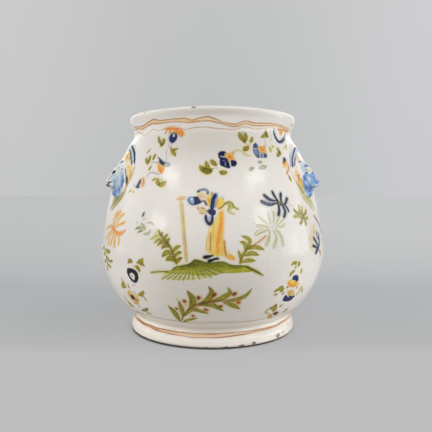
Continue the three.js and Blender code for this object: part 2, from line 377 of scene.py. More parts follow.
# Each sprig: the enlargement it was read from, and its touches in groups. A group is a pigment and a brush,
# and for each touch of it the width, the load and the points (column, row) on the enlargement.
sprigs = {
    "orangeCrown": ("topLeft", [
        ("yellow line", (26, 0.77, 955, 446, 1040, 452, 1120, 458, 1200, 470)),
        ("orange line", (30, 0.85, 1000, 446, 1090, 442, 1170, 460, 1206, 500, 1196, 545)),
        ("orange drop", (26, 0.85, 1060, 455, 1046, 505), (24, 0.85, 1098, 455, 1100, 500),
            (28, 0.85, 1130, 460, 1132, 515), (26, 0.85, 1160, 470, 1170, 525)),
        ("mauve line", (12, 0.77, 1010, 462, 988, 490, 996, 508)),
        ("navy leaf", (92, 1.02, 1086, 500, 1088, 555, 1084, 622)), ("navy dot", (66, 0.51, 1086, 574)),
        ("bare line", (18, 0.85, 1098, 505, 1098, 548)),
        ("brown line", (9, 0.38, 1082, 618, 1062, 680, 1052, 700), (9, 0.38, 1018, 640, 1058, 704)),
        ("olive leaf", (40, 0.85, 1056, 690, 1085, 740, 1122, 802), (22, 0.85, 1090, 716, 1155, 700),
            (18, 0.85, 1084, 742, 1108, 700)),
    ]),
    "leftLeaf": ("topLeft", [
        ("olive leaf", (28, 1, 897, 535, 910, 600, 938, 660), (36, 1, 962, 566, 966, 610, 950, 660)),
        ("olive dot", (42, 1, 940, 650)), ("leaf dot", (20, 0.8, 936, 602)),
        ("mauve line", (6, 0.45, 1004, 690, 1002, 770, 1000, 856)),
    ]),
    "greyBell": ("topLeft", [
        ("navy drop", (26, 0.9, 890, 812, 918, 845, 950, 880)),
        ("ink drop", (40, 0.55, 905, 860, 930, 885, 975, 900)),
        ("amber wash", (0, 0.75, 884, 899, 980, 920, 975, 984, 937, 1030, 893, 984)),
        ("greyBlue wash",
            (0, 0.45, 915, 862, 975, 866, 1045, 890, 1052, 925, 1000, 940, 960, 930, 925, 905)),
        ("orange drop", (22, 0.7, 900, 900, 906, 950, 912, 990), (26, 0.8, 935, 935, 930, 975, 928, 1012)),
        ("amber drop", (20, 0.7, 962, 945, 955, 1000)),
        ("mauve line", (7, 0.7, 790, 884, 845, 880, 905, 886)),
        ("olive leaf", (16, 1, 795, 704, 742, 768), (32, 1, 792, 782, 780, 840, 752, 915),
            (26, 1, 735, 812, 738, 860, 750, 905)), ("leaf leaf", (24, 0.8, 765, 830, 760, 880)),
        ("olive leaf", (30, 1, 858, 766, 842, 810, 820, 855), (20, 1, 806, 918, 768, 990)),
        ("mauve line", (7, 0.8, 740, 1080, 760, 1040, 800, 1012, 850, 1020, 905, 1040)),
        ("olive leaf", (20, 0.9, 866, 1084, 812, 1124), (44, 0.9, 888, 1086, 884, 1130, 905, 1186),
            (50, 0.85, 890, 1170, 945, 1170, 1000, 1124)), ("paleGreen dot", (46, 0.5, 932, 1120)),
    ]),
    "littleBud": ("topLeft", [
        ("midnight leaf", (43.2, 0.75, 668, 1095, 640, 1160, 600, 1215)),
        ("ink leaf", (21.6, 0.7, 604, 1205, 655, 1205)),
        ("orange leaf", (26.4, 0.8, 690, 1065, 700, 1130, 682, 1215)),
        ("amber leaf", (21.6, 0.6, 712, 1095, 700, 1150, 690, 1200)),
        ("blue dot", (14.4, 0.7, 575, 1180), (12, 0.7, 590, 1198)),
        ("olive leaf", (16.8, 0.9, 545, 1228, 505, 1278), (14.4, 0.9, 560, 1252, 574, 1274)),
    ]),
    "bluePetals": ("topRight", [
        ("olive leaf", (43.2, 1, 203, 735, 250, 785, 335, 792), (32.4, 1, 270, 688, 285, 740, 315, 800),
            (36.7, 1, 322, 678, 345, 705, 384, 738), (47.5, 1, 235, 770, 290, 800, 340, 770)),
        ("leaf leaf", (21.6, 0.8, 240, 745, 285, 775)), ("flesh line", (8, 1, 335, 768, 400, 762)),
        ("olive leaf", (36.7, 1, 410, 800, 450, 812, 492, 804)),
        ("deepGreen leaf", (15.1, 0.8, 425, 815, 450, 826)),
        ("navy wash", (0, 1.3, 400, 612, 424, 590, 462, 588, 486, 604, 478, 625, 484, 652, 512, 684,
             540, 676, 560, 684, 586, 690, 592, 720, 570, 746, 536, 742, 516, 764, 486, 760, 456, 748,
             424, 734, 416, 700, 420, 670, 404, 650)),
        ("navy dot", (34, 0.6, 424, 614), (30, 0.6, 434, 668), (36, 0.6, 446, 712), (34, 0.6, 494, 736)),
        ("navy leaf", (32.4, 0.6, 556, 700, 566, 736)),
        ("bare line", (8, 0.75, 420, 640, 476, 650), (7, 0.4, 470, 700, 478, 744),
            (9, 0.9, 520, 690, 530, 752), (5, 0.3, 440, 690, 470, 680)),
        ("sky line", (10, 0.5, 436, 632, 466, 642)),
        ("bare wash", (0, 0.9, 474, 606, 516, 612, 560, 590, 556, 640, 580, 676, 540, 672, 512, 700,
             500, 662, 468, 648)),
        ("amber wash", (0, 0.85, 474, 606, 516, 612, 560, 590, 556, 640, 580, 676, 540, 672, 512, 700,
             500, 662, 468, 648)),
        ("orange drop", (20, 1, 502, 638, 520, 655), (18, 0.9, 520, 625, 535, 665)),
        ("ochre line", (6, 0.55, 552, 622, 580, 582, 640, 588, 690, 630, 742, 634),
            (7, 0.42, 668, 608, 700, 622)), ("olive leaf", (38.9, 1, 662, 582, 690, 560, 718, 540)),
        ("brown leaf", (15.1, 0.42, 664, 584, 684, 572)), ("amber dot", (16, 0.6, 712, 528)),
        ("olive leaf", (38.9, 1, 622, 386, 635, 440, 684, 505), (34.6, 1, 682, 388, 686, 440, 672, 505)),
        ("paleGreen leaf", (28.1, 0.8, 650, 380, 662, 440)),
        ("olive leaf", (23.8, 1, 756, 434, 748, 470, 732, 502)),
        ("greyBlue wash", (0, 1.15, 768, 520, 790, 500, 812, 520, 812, 556, 826, 590, 850, 600, 880, 604,
             908, 622, 904, 652, 870, 656, 838, 652, 806, 656, 786, 630, 770, 600, 762, 560)),
        ("navy leaf", (24, 0.6, 784, 512, 790, 548)),
        ("navy dot", (26, 0.4, 830, 640), (34, 0.5, 890, 634)),
        ("bare line", (7, 0.7, 764, 560, 810, 564), (8, 0.7, 834, 600, 838, 660),
            (7, 0.7, 866, 606, 872, 656)),
        ("bare wash",
            (0, 0.8, 816, 536, 860, 540, 894, 526, 892, 570, 908, 604, 868, 598, 850, 610, 838, 580)),
        ("amber wash",
            (0, 0.9, 816, 536, 860, 540, 894, 526, 892, 570, 908, 604, 868, 598, 850, 610, 838, 580)),
        ("orange leaf", (23.8, 0.8, 850, 545, 868, 585)),
    ]),
    "neckLeaves": ("topRight", [
        ("olive leaf", (22, 1, 896, 366, 900, 400, 906, 436)),
        ("olive wash", (0, 0.9, 886, 392, 912, 392, 926, 444, 842, 446)),
        ("mauve line", (4.4, 0.5, 890, 450, 888, 540)),
        ("greyGreen leaf", (28.6, 0.8, 728, 792, 750, 770, 776, 758), (26.4, 0.8, 812, 704, 858, 700),
            (37.4, 0.8, 820, 768, 865, 755, 905, 742)),
        ("leaf leaf", (23.1, 0.7, 938, 540, 945, 570, 950, 600), (19.8, 0.6, 962, 545, 976, 532)),
        ("brown line", (5.5, 0.25, 950, 360, 955, 440, 940, 490)),
    ]),
    "blueCup": ("topRight", [
        ("navy wash", (0, 1, 1004, 462, 1030, 482, 1062, 482, 1086, 458, 1076, 488, 1046, 506, 1016, 490)),
        ("peach wash", (0, 0.6, 1064, 690, 1118, 668, 1136, 715, 1124, 768, 1074, 760)),
        ("navy drop", (40.5, 1.15, 982, 362, 990, 420, 1012, 465, 1045, 494),
            (33.8, 1.15, 1104, 402, 1090, 450, 1068, 480, 1045, 494)),
        ("sky line", (16.1, 0.57, 998, 372, 1004, 420)),
        ("amber wash", (0, 0.69, 1030, 372, 1070, 378, 1074, 410, 1048, 425, 1034, 400)),
        ("rust leaf", (13.8, 0.8, 1040, 392, 1066, 400)),
        ("rust line", (6.9, 0.92, 1016, 362, 1080, 370, 1130, 386)),
        ("olive leaf", (25.3, 1, 1012, 545, 1030, 575, 1052, 602),
            (32.2, 1, 1056, 598, 1030, 622, 1014, 645)), ("olive dot", (29.9, 0.92, 1036, 598)),
        ("leaf leaf", (17.2, 1, 1112, 518, 1108, 545, 1112, 575)),
        ("mauve line", (4.6, 0.57, 1100, 520, 1078, 570)),
        ("navy leaf", (33.8, 1.15, 1096, 655, 1092, 675, 1086, 702)),
        ("amber wash", (0, 0.8, 1072, 700, 1110, 676, 1124, 715, 1114, 752, 1080, 744)),
        ("brown leaf", (16.1, 0.8, 1076, 705, 1100, 718)),
        ("brown line", (9.2, 0.8, 1138, 735, 1130, 790, 1114, 826)),
        ("olive leaf", (25.3, 1, 1136, 835, 1150, 870, 1168, 905)),
    ]),
    "greySprig": ("left", [
        ("ink leaf", (22, 0.85, 712, 408, 700, 450, 678, 484)),
        ("greyGreen leaf", (16, 0.6, 716, 490, 702, 528), (34, 0.7, 590, 650, 640, 622, 700, 642)),
        ("deepGreen leaf", (17, 0.45, 596, 648, 620, 626, 652, 628),
            (20, 0.5, 618, 692, 650, 672, 700, 660)),
        ("greyGreen leaf", (30, 0.7, 660, 560, 700, 600, 722, 660), (28, 0.6, 690, 704, 760, 700, 796, 650),
            (20, 0.55, 740, 566, 800, 556, 846, 600)), ("paleGreen leaf", (44, 0.25, 640, 600, 730, 640)),
        ("greyGreen leaf", (16, 0.5, 606, 552, 630, 560)),
    ]),
    "orangeRays": ("left", [
        (kind, *((width, load, *ray) for ray in thinRays))
        for kind, width, load in (("gold drop", 34, 0.7), ("orange drop", 15, 0.9))
    ] + [
        ("orange drop", (36, 0.85, 300, 622, 330, 670, 372, 698), (46, 0.88, 464, 650, 425, 690, 376, 705)),
        ("gold leaf", (14, 0.5, 330, 655, 380, 690, 430, 684)),
        ("orange leaf", (44, 0.8, 288, 606, 322, 655), (24, 0.5, 300, 560, 308, 610),
            (20, 0.5, 300, 660, 300, 740), (18, 0.4, 330, 680, 350, 740)),
    ]),
    "edgeFern": ("left", [
        ("olive line", (22, 1, 178, 850, 196, 930, 214, 1010, 226, 1100, 232, 1190)),
        ("olive leaf", (43.9, 1, 204, 900, 232, 934, 268, 936), (35.5, 1, 212, 985, 240, 1040, 268, 1070),
            (27, 1, 262, 1066, 296, 1056), (33.8, 1, 224, 1080, 250, 1120, 278, 1142),
            (30.4, 0.88, 184, 880, 160, 905), (30.4, 0.88, 198, 950, 178, 980),
            (30.4, 0.88, 214, 1040, 192, 1080)), ("paleGreen leaf", (43.9, 0.75, 206, 1000, 226, 1080)),
    ]),
    "leftFern": ("left", [
        ("olive line", (23.8, 1, 1134, 1108, 1112, 1040, 1094, 970, 1062, 900, 1020, 830, 980, 780,
             930, 720, 898, 660)), ("ochre line", (19.4, 0.7, 1120, 1080, 1100, 1000)),
        ("olive leaf", (34.6, 1, 1090, 940, 1126, 888, 1186, 860),
            (34.6, 1, 1106, 1010, 1148, 955, 1204, 944), (37.8, 1, 1126, 1096, 1156, 1040, 1208, 1014),
            (30.2, 1, 1020, 830, 1018, 790, 1046, 756), (27, 1, 984, 785, 984, 742, 1022, 706),
            (27, 1, 944, 740, 934, 712, 958, 682), (48.6, 1, 1088, 976, 1010, 945, 940, 1004),
            (51.8, 1, 1112, 1062, 1050, 1020, 992, 1050), (37.8, 1, 1040, 880, 985, 858, 932, 898),
            (34.6, 0.9, 1010, 826, 935, 812, 880, 862), (27, 0.7, 970, 790, 900, 776, 836, 832)),
        ("leaf leaf", (27, 0.5, 930, 730, 860, 736, 784, 786), (54, 0.3, 900, 650, 870, 730)),
        ("paleGreen leaf", (67, 0.4, 930, 800, 1000, 860)),
    ]),
    "rightFern": ("right", [
        ("olive line", (23.8, 0.8, 562, 1165, 574, 1105, 610, 1035, 650, 990, 704, 960)),
        ("olive leaf", (27, 0.8, 572, 1130, 560, 1070, 540, 1008),
            (32.4, 0.8, 640, 1000, 668, 920, 650, 880, 570, 848),
            (34.6, 0.8, 618, 1030, 622, 960, 600, 928, 556, 916),
            (34.6, 0.8, 650, 1000, 730, 975, 834, 1004), (37.8, 0.8, 600, 1075, 690, 1045, 774, 1066),
            (34.6, 0.8, 574, 1150, 640, 1125, 736, 1128)),
        ("ochre line", (16.2, 0.4, 570, 1150, 584, 1090)),
        ("berry line", (8.6, 0.64, 690, 966, 770, 916, 856, 846)),
    ]),
    "paleRays": ("right", [
        ("paleGreen petal", (46.2, 0.42, 888, 782, 800, 792, 728, 838)),
        ("olive leaf", (10, 0.35, 900, 820, 884, 880, 856, 950), (10, 0.35, 942, 810, 964, 880, 940, 970),
            (10, 0.35, 968, 790, 1020, 860, 1042, 950), (12, 0.35, 860, 800, 800, 812, 742, 840)),
        ("paleGreen petal", (31.2, 0.45, 886, 752, 800, 738, 742, 740), (17.5, 0.39, 722, 716, 700, 712),
            (31.2, 0.39, 862, 712, 810, 670, 766, 626), (40, 0.42, 896, 790, 880, 880, 848, 968),
            (40, 0.42, 934, 790, 968, 870, 934, 992), (40, 0.42, 956, 770, 1020, 850, 1046, 970),
            (28.8, 0.39, 966, 744, 1030, 745, 1060, 712), (26.2, 0.39, 900, 720, 884, 650, 872, 590),
            (26.2, 0.39, 932, 715, 940, 640, 930, 570), (26.2, 0.39, 955, 725, 990, 660, 1010, 612),
            (22.5, 0.39, 970, 735, 1020, 690, 1056, 650)), ("paleGreen dot", (30, 0.18, 925, 756)),
    ]),
    "blueRays": ("right", [
        ("midnight ray", (27, 1.21, 990, 470, 950, 410, 915, 345),
            (30.9, 1.21, 1022, 468, 1014, 410, 1018, 366), (32.5, 1.21, 1068, 492, 1080, 450, 1090, 424)),
        ("midnight petal", (36, 0.95, 975, 462, 890, 440, 820, 386),
            (40, 0.95, 970, 482, 890, 500, 790, 460)), ("greyBlue leaf", (40, 0.4, 950, 462, 850, 448)),
        ("sky leaf", (42, 0.4, 960, 470, 880, 470)),
        ("midnight ray", (32.5, 1.21, 992, 505, 1000, 570, 988, 626),
            (34.7, 1.21, 1036, 505, 1066, 580, 1050, 646), (23.2, 1.21, 1062, 505, 1092, 545, 1108, 584)),
        ("midnight leaf", (34, 1, 955, 484, 1010, 488, 1075, 498)), ("bare dot", (15, 1, 1000, 486)),
        ("lime dot", (19, 1, 1000, 486)), ("bare dot", (13, 1, 1026, 482)),
        ("lime dot", (17, 1, 1026, 482)), ("bare dot", (12, 1, 1048, 496)),
        ("ochre dot", (16, 1, 1048, 496)), ("mauve line", (5, 0.5, 1100, 490, 1150, 520)),
    ]),
    "greenRays": ("right", [
        ("lime leaf", (84, 1.15, 1216, 575, 1268, 650)),
        ("olive drop", (30, 1.1, 1240, 606, 1196, 590, 1160, 552)),
        ("olive ray", (22, 0.9, 1240, 596, 1226, 550, 1214, 502),
            (22, 0.9, 1250, 596, 1256, 560, 1250, 516)),
        ("lime drop", (34, 1.1, 1236, 618, 1200, 628, 1162, 634)),
        ("olive ray", (30, 1.1, 1256, 630, 1256, 680, 1232, 716),
            (32, 1.2, 1264, 628, 1290, 680, 1298, 728), (26, 1, 1264, 616, 1292, 600, 1300, 552)),
        ("lime drop", (30, 1.1, 1268, 630, 1296, 650, 1324, 650)),
        ("lime leaf", (24, 0.4, 1226, 590, 1268, 640)),
    ]),
    "edgeRays": ("right", [
        ("peach wash", (0, 0.4, 1366, 730, 1400, 700, 1450, 880, 1440, 1040, 1360, 1020, 1330, 870)),
        ("amber leaf", (40, 0.35, 1404, 830, 1392, 780, 1376, 720),
            (40, 0.35, 1398, 900, 1360, 880, 1324, 872), (36, 0.35, 1400, 960, 1370, 960, 1340, 990)),
        ("mauve leaf", (22, 0.35, 1392, 840, 1384, 770)),
        ("navy ray", (44, 1.0, 1442, 830, 1448, 930, 1432, 990, 1404, 1050),
            (36, 0.95, 1440, 970, 1410, 910, 1380, 866), (30, 0.85, 1440, 1000, 1404, 970, 1372, 960),
            (30, 0.85, 1444, 900, 1424, 850, 1420, 800)),
        ("rust leaf", (26, 0.9, 1440, 1000, 1462, 1050, 1452, 1090)),
        ("mauve line", (24, 1.4, 1386, 618, 1430, 690, 1460, 760, 1480, 850)),
        ("umber line", (16, 0.5, 1388, 620, 1436, 700)),
        ("olive line", (24, 1, 1482, 880, 1498, 940, 1502, 1030)),
    ]),
    "walker": ("walker", [
        ("ochre line", (40, 0.22, 96, 285, 170, 282)),
        ("peach wash", (0, 1.0, 40, 285, 120, 240, 210, 250, 200, 300, 60, 305)),
        ("ochre line", (48, 0.2, 128, 290, 158, 600, 186, 950, 212, 1250, 232, 1425),
            (11, 0.7, 146, 320, 172, 650, 196, 960, 212, 1100, 236, 1425),
            (10, 0.5, 112, 320, 138, 650, 164, 960, 188, 1190, 210, 1420)),
        ("brown line", (9, 0.35, 186, 900, 196, 1010, 206, 1130)),
        ("sky wash", (0, 1.0, 258, 256, 345, 248, 392, 320, 372, 388, 300, 376, 258, 320)),
        ("bare dot", (26, 1, 322, 290)), ("navy line", (17, 0.95, 252, 286, 276, 344, 330, 386, 440, 376)),
        ("navy wash", (0, 1.3, 352, 250, 434, 250, 468, 312, 500, 342, 440, 378, 368, 382, 366, 300)),
        ("ink drop", (30, 1, 480, 340, 545, 326, 592, 404)), ("navy line", (34, 0.9, 415, 345, 480, 345)),
        ("greyBlue line", (34, 0.75, 424, 164, 470, 132, 545, 118, 600, 140, 616, 196)),
        ("navy leaf", (28, 0.8, 420, 168, 462, 140), (24, 0.6, 598, 160, 612, 205)),
        ("yellow wash", (0, 0.35, 432, 190, 520, 160, 590, 196, 580, 250, 470, 260, 436, 230)),
        ("flesh wash", (0, 0.42, 446, 200, 530, 176, 590, 210, 608, 300, 556, 318, 488, 316, 442, 262)),
        ("ochre line", (9, 0.5, 424, 196, 436, 256, 486, 316)), ("umber dot", (13, 0.6, 474, 236)),
        ("rust leaf", (10, 0.5, 470, 276, 496, 280)), ("rust dot", (26, 0.25, 540, 250)),
        ("gold wash", (0, 0.7, 600, 232, 660, 214, 682, 300, 650, 430, 606, 404, 590, 312)),
        ("orange leaf", (26, 0.7, 622, 262, 634, 350)), ("brown leaf", (18, 0.8, 694, 166, 668, 222)),
        ("ochre wash", (0, 0.36, 418, 448, 500, 438, 590, 482, 604, 524, 560, 552, 468, 552, 440, 500)),
        ("brown leaf", (20, 0.7, 498, 448, 544, 462), (16, 0.6, 414, 438, 452, 462)),
        ("ochre leaf", (18, 0.8, 462, 540, 550, 552)),
        ("navy line", (52, 1.25, 752, 206, 706, 290, 692, 380, 684, 462)),
        ("sky line", (30, 0.9, 786, 236, 746, 320, 736, 440)), ("sky leaf", (30, 0.6, 722, 186, 800, 196)),
        ("navy wash", (0, 1.3, 598, 502, 676, 458, 752, 502, 746, 560, 700, 590, 640, 562)),
        ("ink leaf", (34, 0.8, 604, 500, 660, 520)),
        ("navy line", (40, 1.25, 574, 574, 578, 650, 604, 712, 646, 742, 682, 700, 694, 580)),
        ("sky line", (24, 0.6, 634, 596, 636, 696)), ("ink leaf", (40, 0.8, 604, 716, 690, 728)),
        ("blue leaf", (28, 0.6, 668, 560, 700, 580)),
        ("gold wash", (0, 0.95, 782, 302, 830, 262, 886, 290, 902, 380, 862, 430, 792, 462, 762, 402)),
        ("orange line", (12, 0.8, 790, 310, 768, 380, 778, 430)),
        ("greyBlue line", (9, 0.5, 842, 224, 880, 260, 902, 310)),
        ("gold wash", (0, 0.5, 640, 772, 702, 742, 690, 1000, 660, 1280, 568, 1226, 584, 1010), (0, 0.8,
             704, 738, 792, 560, 862, 486, 884, 600, 876, 1000, 900, 1322, 690, 1300, 640, 1256, 664, 1000),
            (0, 0.3, 690, 800, 760, 700, 780, 1000, 760, 1290, 670, 1280, 676, 1000)),
        ("orange line", (40, 0.62, 838, 520, 850, 640, 824, 850, 792, 1050, 778, 1286),
            (11, 0.5, 846, 600, 834, 760, 806, 940, 780, 1120)),
        ("amber line", (26, 0.5, 872, 480, 884, 640, 868, 900, 856, 1180, 862, 1310)),
        ("brown line", (12, 0.8, 652, 880, 656, 1080, 650, 1236)),
        ("ochre line", (12, 0.4, 598, 960, 584, 1100, 580, 1210),
            (12, 0.35, 712, 780, 706, 900, 700, 1010)),
        ("orange wash", (0, 0.6, 898, 1016, 932, 1150, 992, 1262, 1092, 1342, 1092, 1392, 1000, 1372,
             930, 1322, 906, 1200)), ("brown line", (16, 0.7, 904, 1030, 914, 1200, 934, 1316)),
        ("bare line", (16, 0.8, 950, 1180, 986, 1300)),
        ("olive line", (19, 0.9, 786, 474, 872, 428, 926, 364, 1000, 346, 1056, 380, 1074, 430, 1172, 482)),
        ("deepGreen line", (12, 0.5, 900, 400, 960, 350, 1030, 356)),
        ("olive line", (12, 0.75, 948, 364, 1012, 410, 968, 486, 1004, 532, 1100, 562)),
        ("leaf wash", (0, 0.5, 960, 376, 1052, 396, 1064, 440, 1010, 500, 980, 480)),
        ("ink drop", (60, 1.1, 704, 1306, 620, 1326, 534, 1342),
            (56, 1.1, 800, 1352, 712, 1376, 612, 1414)), ("bare line", (10, 0.8, 650, 1366, 720, 1346)),
        ("ink leaf", (30, 0.9, 770, 1340, 800, 1390)),
    ]),
    "mound": ("mound", [
        ("olive line", (13, 0.9, 80, 206, 130, 196, 210, 192, 300, 188)),
        ("lime wash", (0, 1.0, 250, 200, 340, 172, 400, 128, 560, 98, 620, 44, 700, 58, 780, 88, 900, 78,
             960, 74, 1080, 114, 1250, 124, 1340, 172, 1300, 190, 1100, 206, 960, 204, 830, 232, 620, 232,
             480, 214, 340, 214)),
        ("deepGreen wash", (0, 0.36, 440, 140, 620, 60, 700, 70, 900, 86, 1060, 118, 1200, 150, 1060, 160,
             860, 176, 640, 190, 520, 178),
            (0, 0.32, 500, 130, 620, 60, 700, 70, 860, 88, 980, 120, 860, 150, 700, 176, 590, 160)),
        ("olive wash", (0, 0.7, 340, 176, 400, 132, 560, 102, 620, 50, 700, 64, 790, 92, 960, 80, 1080, 118,
             1240, 130, 1100, 150, 900, 132, 700, 130, 520, 160)),
        ("lime wash", (0, 0.3, 250, 200, 240, 262, 320, 282, 480, 292, 640, 280, 820, 254, 960, 210,
             900, 200, 620, 220, 400, 205)),
        ("deepGreen line", (12, 0.75, 336, 176, 390, 136, 560, 100, 620, 48, 700, 64, 790, 88, 960, 74,
             1080, 116, 1250, 124, 1340, 164)), ("olive leaf", (26, 1, 1230, 128, 1350, 178, 1466, 242)),
        ("deepGreen line", (8, 0.6, 1260, 128, 1360, 180, 1462, 240)),
        ("deepGreen wash", (0, 0.5, 520, 130, 570, 100, 622, 46, 700, 62, 690, 100, 620, 130)),
    ] + [
        (grassInks[k % 4][0], (*grassInks[k % 4][1:], (grassRoot[0] + x) / 2, (grassRoot[1] + y) / 2, x, y))
        for k, (x, y) in enumerate(grassTips)
    ]),
    "branch": ("branch", [
        ("olive line", (19.8, 1, 384, 572, 420, 490, 500, 390, 640, 312, 820, 284, 1010, 268)),
        ("olive leaf", (69.7, 1, 372, 580, 318, 500, 270, 430, 182, 338),
            (52.8, 1, 404, 520, 392, 400, 338, 262)), ("deepGreen line", (8.8, 0.5, 330, 250, 300, 236)),
        ("olive leaf", (73.6, 1, 500, 404, 556, 260, 470, 112),
            (71.7, 1, 640, 320, 770, 262, 842, 150, 792, 52),
            (65.9, 0.9, 820, 288, 1000, 224, 1110, 150, 1084, 66),
            (49, 0.95, 1000, 268, 1200, 248, 1350, 190, 1450, 78),
            (56.6, 0.95, 996, 284, 1120, 320, 1268, 392), (62.2, 1, 640, 330, 840, 330, 1018, 422),
            (56.6, 0.95, 430, 500, 540, 400, 690, 430, 796, 462),
            (39.5, 0.85, 402, 596, 480, 560, 632, 524)),
        ("rust line", (12, 0.9, 560, 366, 700, 306, 860, 272, 1010, 252)),
        ("bare leaf", (24, 0.6, 560, 366, 760, 318, 1010, 264)),
        ("ochre leaf", (24, 0.9, 560, 366, 760, 318, 1010, 264)),
        ("deepGreen leaf", (28.6, 0.5, 650, 330, 800, 320), (22, 0.5, 512, 200, 540, 330)),
    ] + [
        (kind, *((size * share, load, x, y) for size, x, y in berries))
        for kind, share, load in (("brown dot", 0.82, 1.15), ("umber dot", 0.34, 0.2))
    ] + [
        ("orange dot", (50, 1, 1240, 294)), ("berry dot", (36, 0.7, 1240, 296)),
        ("berry line", (7.7, 0.5, 640, 250, 610, 300), (7.7, 0.5, 870, 205, 820, 250),
            (7.7, 0.5, 438, 300, 452, 350), (6.6, 0.4, 320, 405, 350, 450),
            (6.6, 0.4, 1215, 290, 1120, 275)),
    ]),
    "darkEye": ("lowLeft", [
        ("ink wash", (0, 1.1, 344, 300, 400, 296, 470, 314, 534, 352, 578, 420, 590, 510, 572, 580,
             544, 616, 496, 618, 430, 570, 370, 478, 336, 390)),
        ("bare wash", (0, 1, 402, 428, 440, 404, 486, 436, 504, 490, 492, 558, 446, 520, 406, 470)),
        ("ink dot", (26, 0.5, 448, 468)),
        ("olive wash", (0, 0.95, 356, 188, 362, 110, 398, 84, 440, 106, 460, 164, 410, 176),
            (0, 0.9, 552, 180, 600, 112, 694, 72, 702, 160, 680, 190, 630, 200)),
        ("olive leaf", (44, 0.9, 610, 205, 690, 214, 728, 262), (73, 0.95, 520, 250, 576, 290, 630, 380)),
        ("yellow leaf", (44, 0.7, 462, 250, 530, 270)),
        ("olive leaf", (22, 0.9, 214, 488, 224, 560, 262, 620)),
        ("olive wash", (0, 0.85, 226, 600, 268, 600, 322, 736, 240, 742, 206, 690)),
    ]),
    "darkHeart": ("lowLeft", [
        ("brown leaf", (32, 0.74, 350, 640, 366, 700, 388, 756)),
        ("mauve leaf", (18, 0.37, 440, 690, 532, 664)),
        ("amber wash", (0, 0.51, 350, 810, 410, 786, 480, 850, 560, 900, 620, 972, 606, 1060, 560, 1092,
             480, 1046, 392, 964, 346, 890)),
        ("ochre leaf", (69, 0.64, 366, 820, 400, 880), (84, 0.64, 380, 860, 450, 960, 570, 1050)),
        ("umber wash", (0, 1.01, 404, 884, 470, 900, 526, 980, 470, 1000, 426, 956)),
        ("umber dot", (50, 1.1, 462, 944)), ("ochre dot", (80, 0.64, 552, 1010)),
        ("brown leaf", (30, 0.55, 540, 960, 580, 1040)), ("rust leaf", (28, 0.83, 480, 1074, 600, 1092)),
        ("mauve leaf", (16, 0.74, 500, 806, 512, 862)),
        ("olive wash", (0, 0.87, 578, 896, 622, 850, 712, 798, 722, 856, 686, 930, 622, 914)),
        ("deepGreen drop", (28, 0.74, 660, 930, 730, 960, 770, 1030)),
        ("deepGreen line", (24, 0.74, 262, 912, 330, 1010, 400, 1090)),
        ("olive leaf", (90, 0.78, 352, 1040, 420, 1110, 492, 1176)),
        ("deepGreen wash", (0, 0.78, 656, 1244, 740, 1196, 806, 1190, 800, 1250, 740, 1264)),
        ("olive leaf", (34, 0.83, 726, 1256, 800, 1300, 896, 1318)),
        ("ink leaf", (28, 0.74, 556, 1270, 616, 1288)),
        ("olive leaf", (28, 0.46, 620, 1290, 700, 1340, 770, 1364)),
        ("mauve leaf", (23, 0.46, 600, 1106, 612, 1186), (16, 0.28, 592, 1376, 588, 1426)),
        ("flesh line", (10, 0.74, 600, 1200, 596, 1380)),
    ]),
    "lowSprig": ("lowRight", [
        ("olive leaf", (51, 0.88, 914, 234, 980, 180, 1070, 162),
            (55, 0.88, 1100, 146, 1100, 200, 1070, 250)),
        ("umber leaf", (24.9, 0.51, 1040, 250, 1000, 306)),
        ("olive leaf", (55, 0.87, 890, 496, 924, 410, 1012, 340),
            (51, 0.88, 1154, 306, 1150, 360, 1134, 408)), ("leaf leaf", (34, 0.58, 990, 200, 1050, 230)),
        ("navy wash", (0, 1.19, 936, 544, 972, 472, 1036, 444, 1082, 482, 1082, 562, 1052, 594, 1000, 560)),
        ("bare leaf", (22.4, 0.66, 1006, 560, 990, 590)),
        ("gold wash",
            (0, 1.06, 848, 592, 896, 560, 960, 580, 1040, 590, 1050, 660, 1020, 692, 940, 704, 862, 664)),
        ("amber leaf", (53, 0.58, 1050, 600, 1084, 676)),
        ("orange line", (40, 0.88, 866, 600, 880, 650, 940, 690, 1010, 680)),
        ("orange leaf", (30, 0.62, 1010, 600, 1040, 650)), ("umber leaf", (32.4, 0.58, 816, 740, 860, 700)),
        ("berry leaf", (32, 0.68, 1060, 696, 1036, 750)),
        ("olive wash", (0, 0.88, 530, 834, 560, 786, 640, 738, 700, 688, 740, 700, 762, 756, 736, 806,
             688, 834, 660, 786, 600, 810)),
        ("umber leaf", (34.6, 0.58, 540, 890, 604, 882), (30.2, 0.51, 706, 884, 772, 838)),
        ("ochre wash", (0, 0.58, 840, 800, 962, 780, 996, 880, 930, 934, 850, 904)),
        ("ochre dot", (64, 0.58, 886, 860)), ("olive drop", (39, 0.87, 1080, 866, 1110, 780, 1168, 702)),
        ("olive leaf", (39, 0.83, 1160, 742, 1164, 842), (30, 0.77, 1056, 850, 1024, 906)),
        ("navy wash", (0, 1.19, 728, 1010, 766, 930, 800, 896, 842, 944, 884, 908, 930, 932, 972, 908,
             996, 926, 924, 1004, 850, 1034, 752, 1034)), ("bare line", (9, 0.88, 850, 900, 866, 950)),
        ("olive drop", (34, 0.77, 590, 1110, 460, 1180, 370, 1246, 342, 1310)),
        ("olive wash",
            (0, 0.88, 440, 1190, 520, 1142, 576, 1096, 604, 1112, 590, 1222, 524, 1276, 490, 1230)),
        ("olive leaf", (28, 0.68, 360, 1310, 420, 1300)),
        ("umber leaf", (32.4, 0.58, 648, 1168, 734, 1106)),
        ("deepGreen leaf", (30, 0.97, 706, 1284, 790, 1246, 860, 1186)),
        ("umber leaf", (22.4, 0.53, 760, 1256, 850, 1190)),
        ("umber wash", (0, 0.88, 496, 1312, 580, 1268, 646, 1278, 566, 1352)),
        ("ochre wash", (0, 0.88, 386, 1376, 436, 1322, 490, 1340, 494, 1400, 404, 1414)),
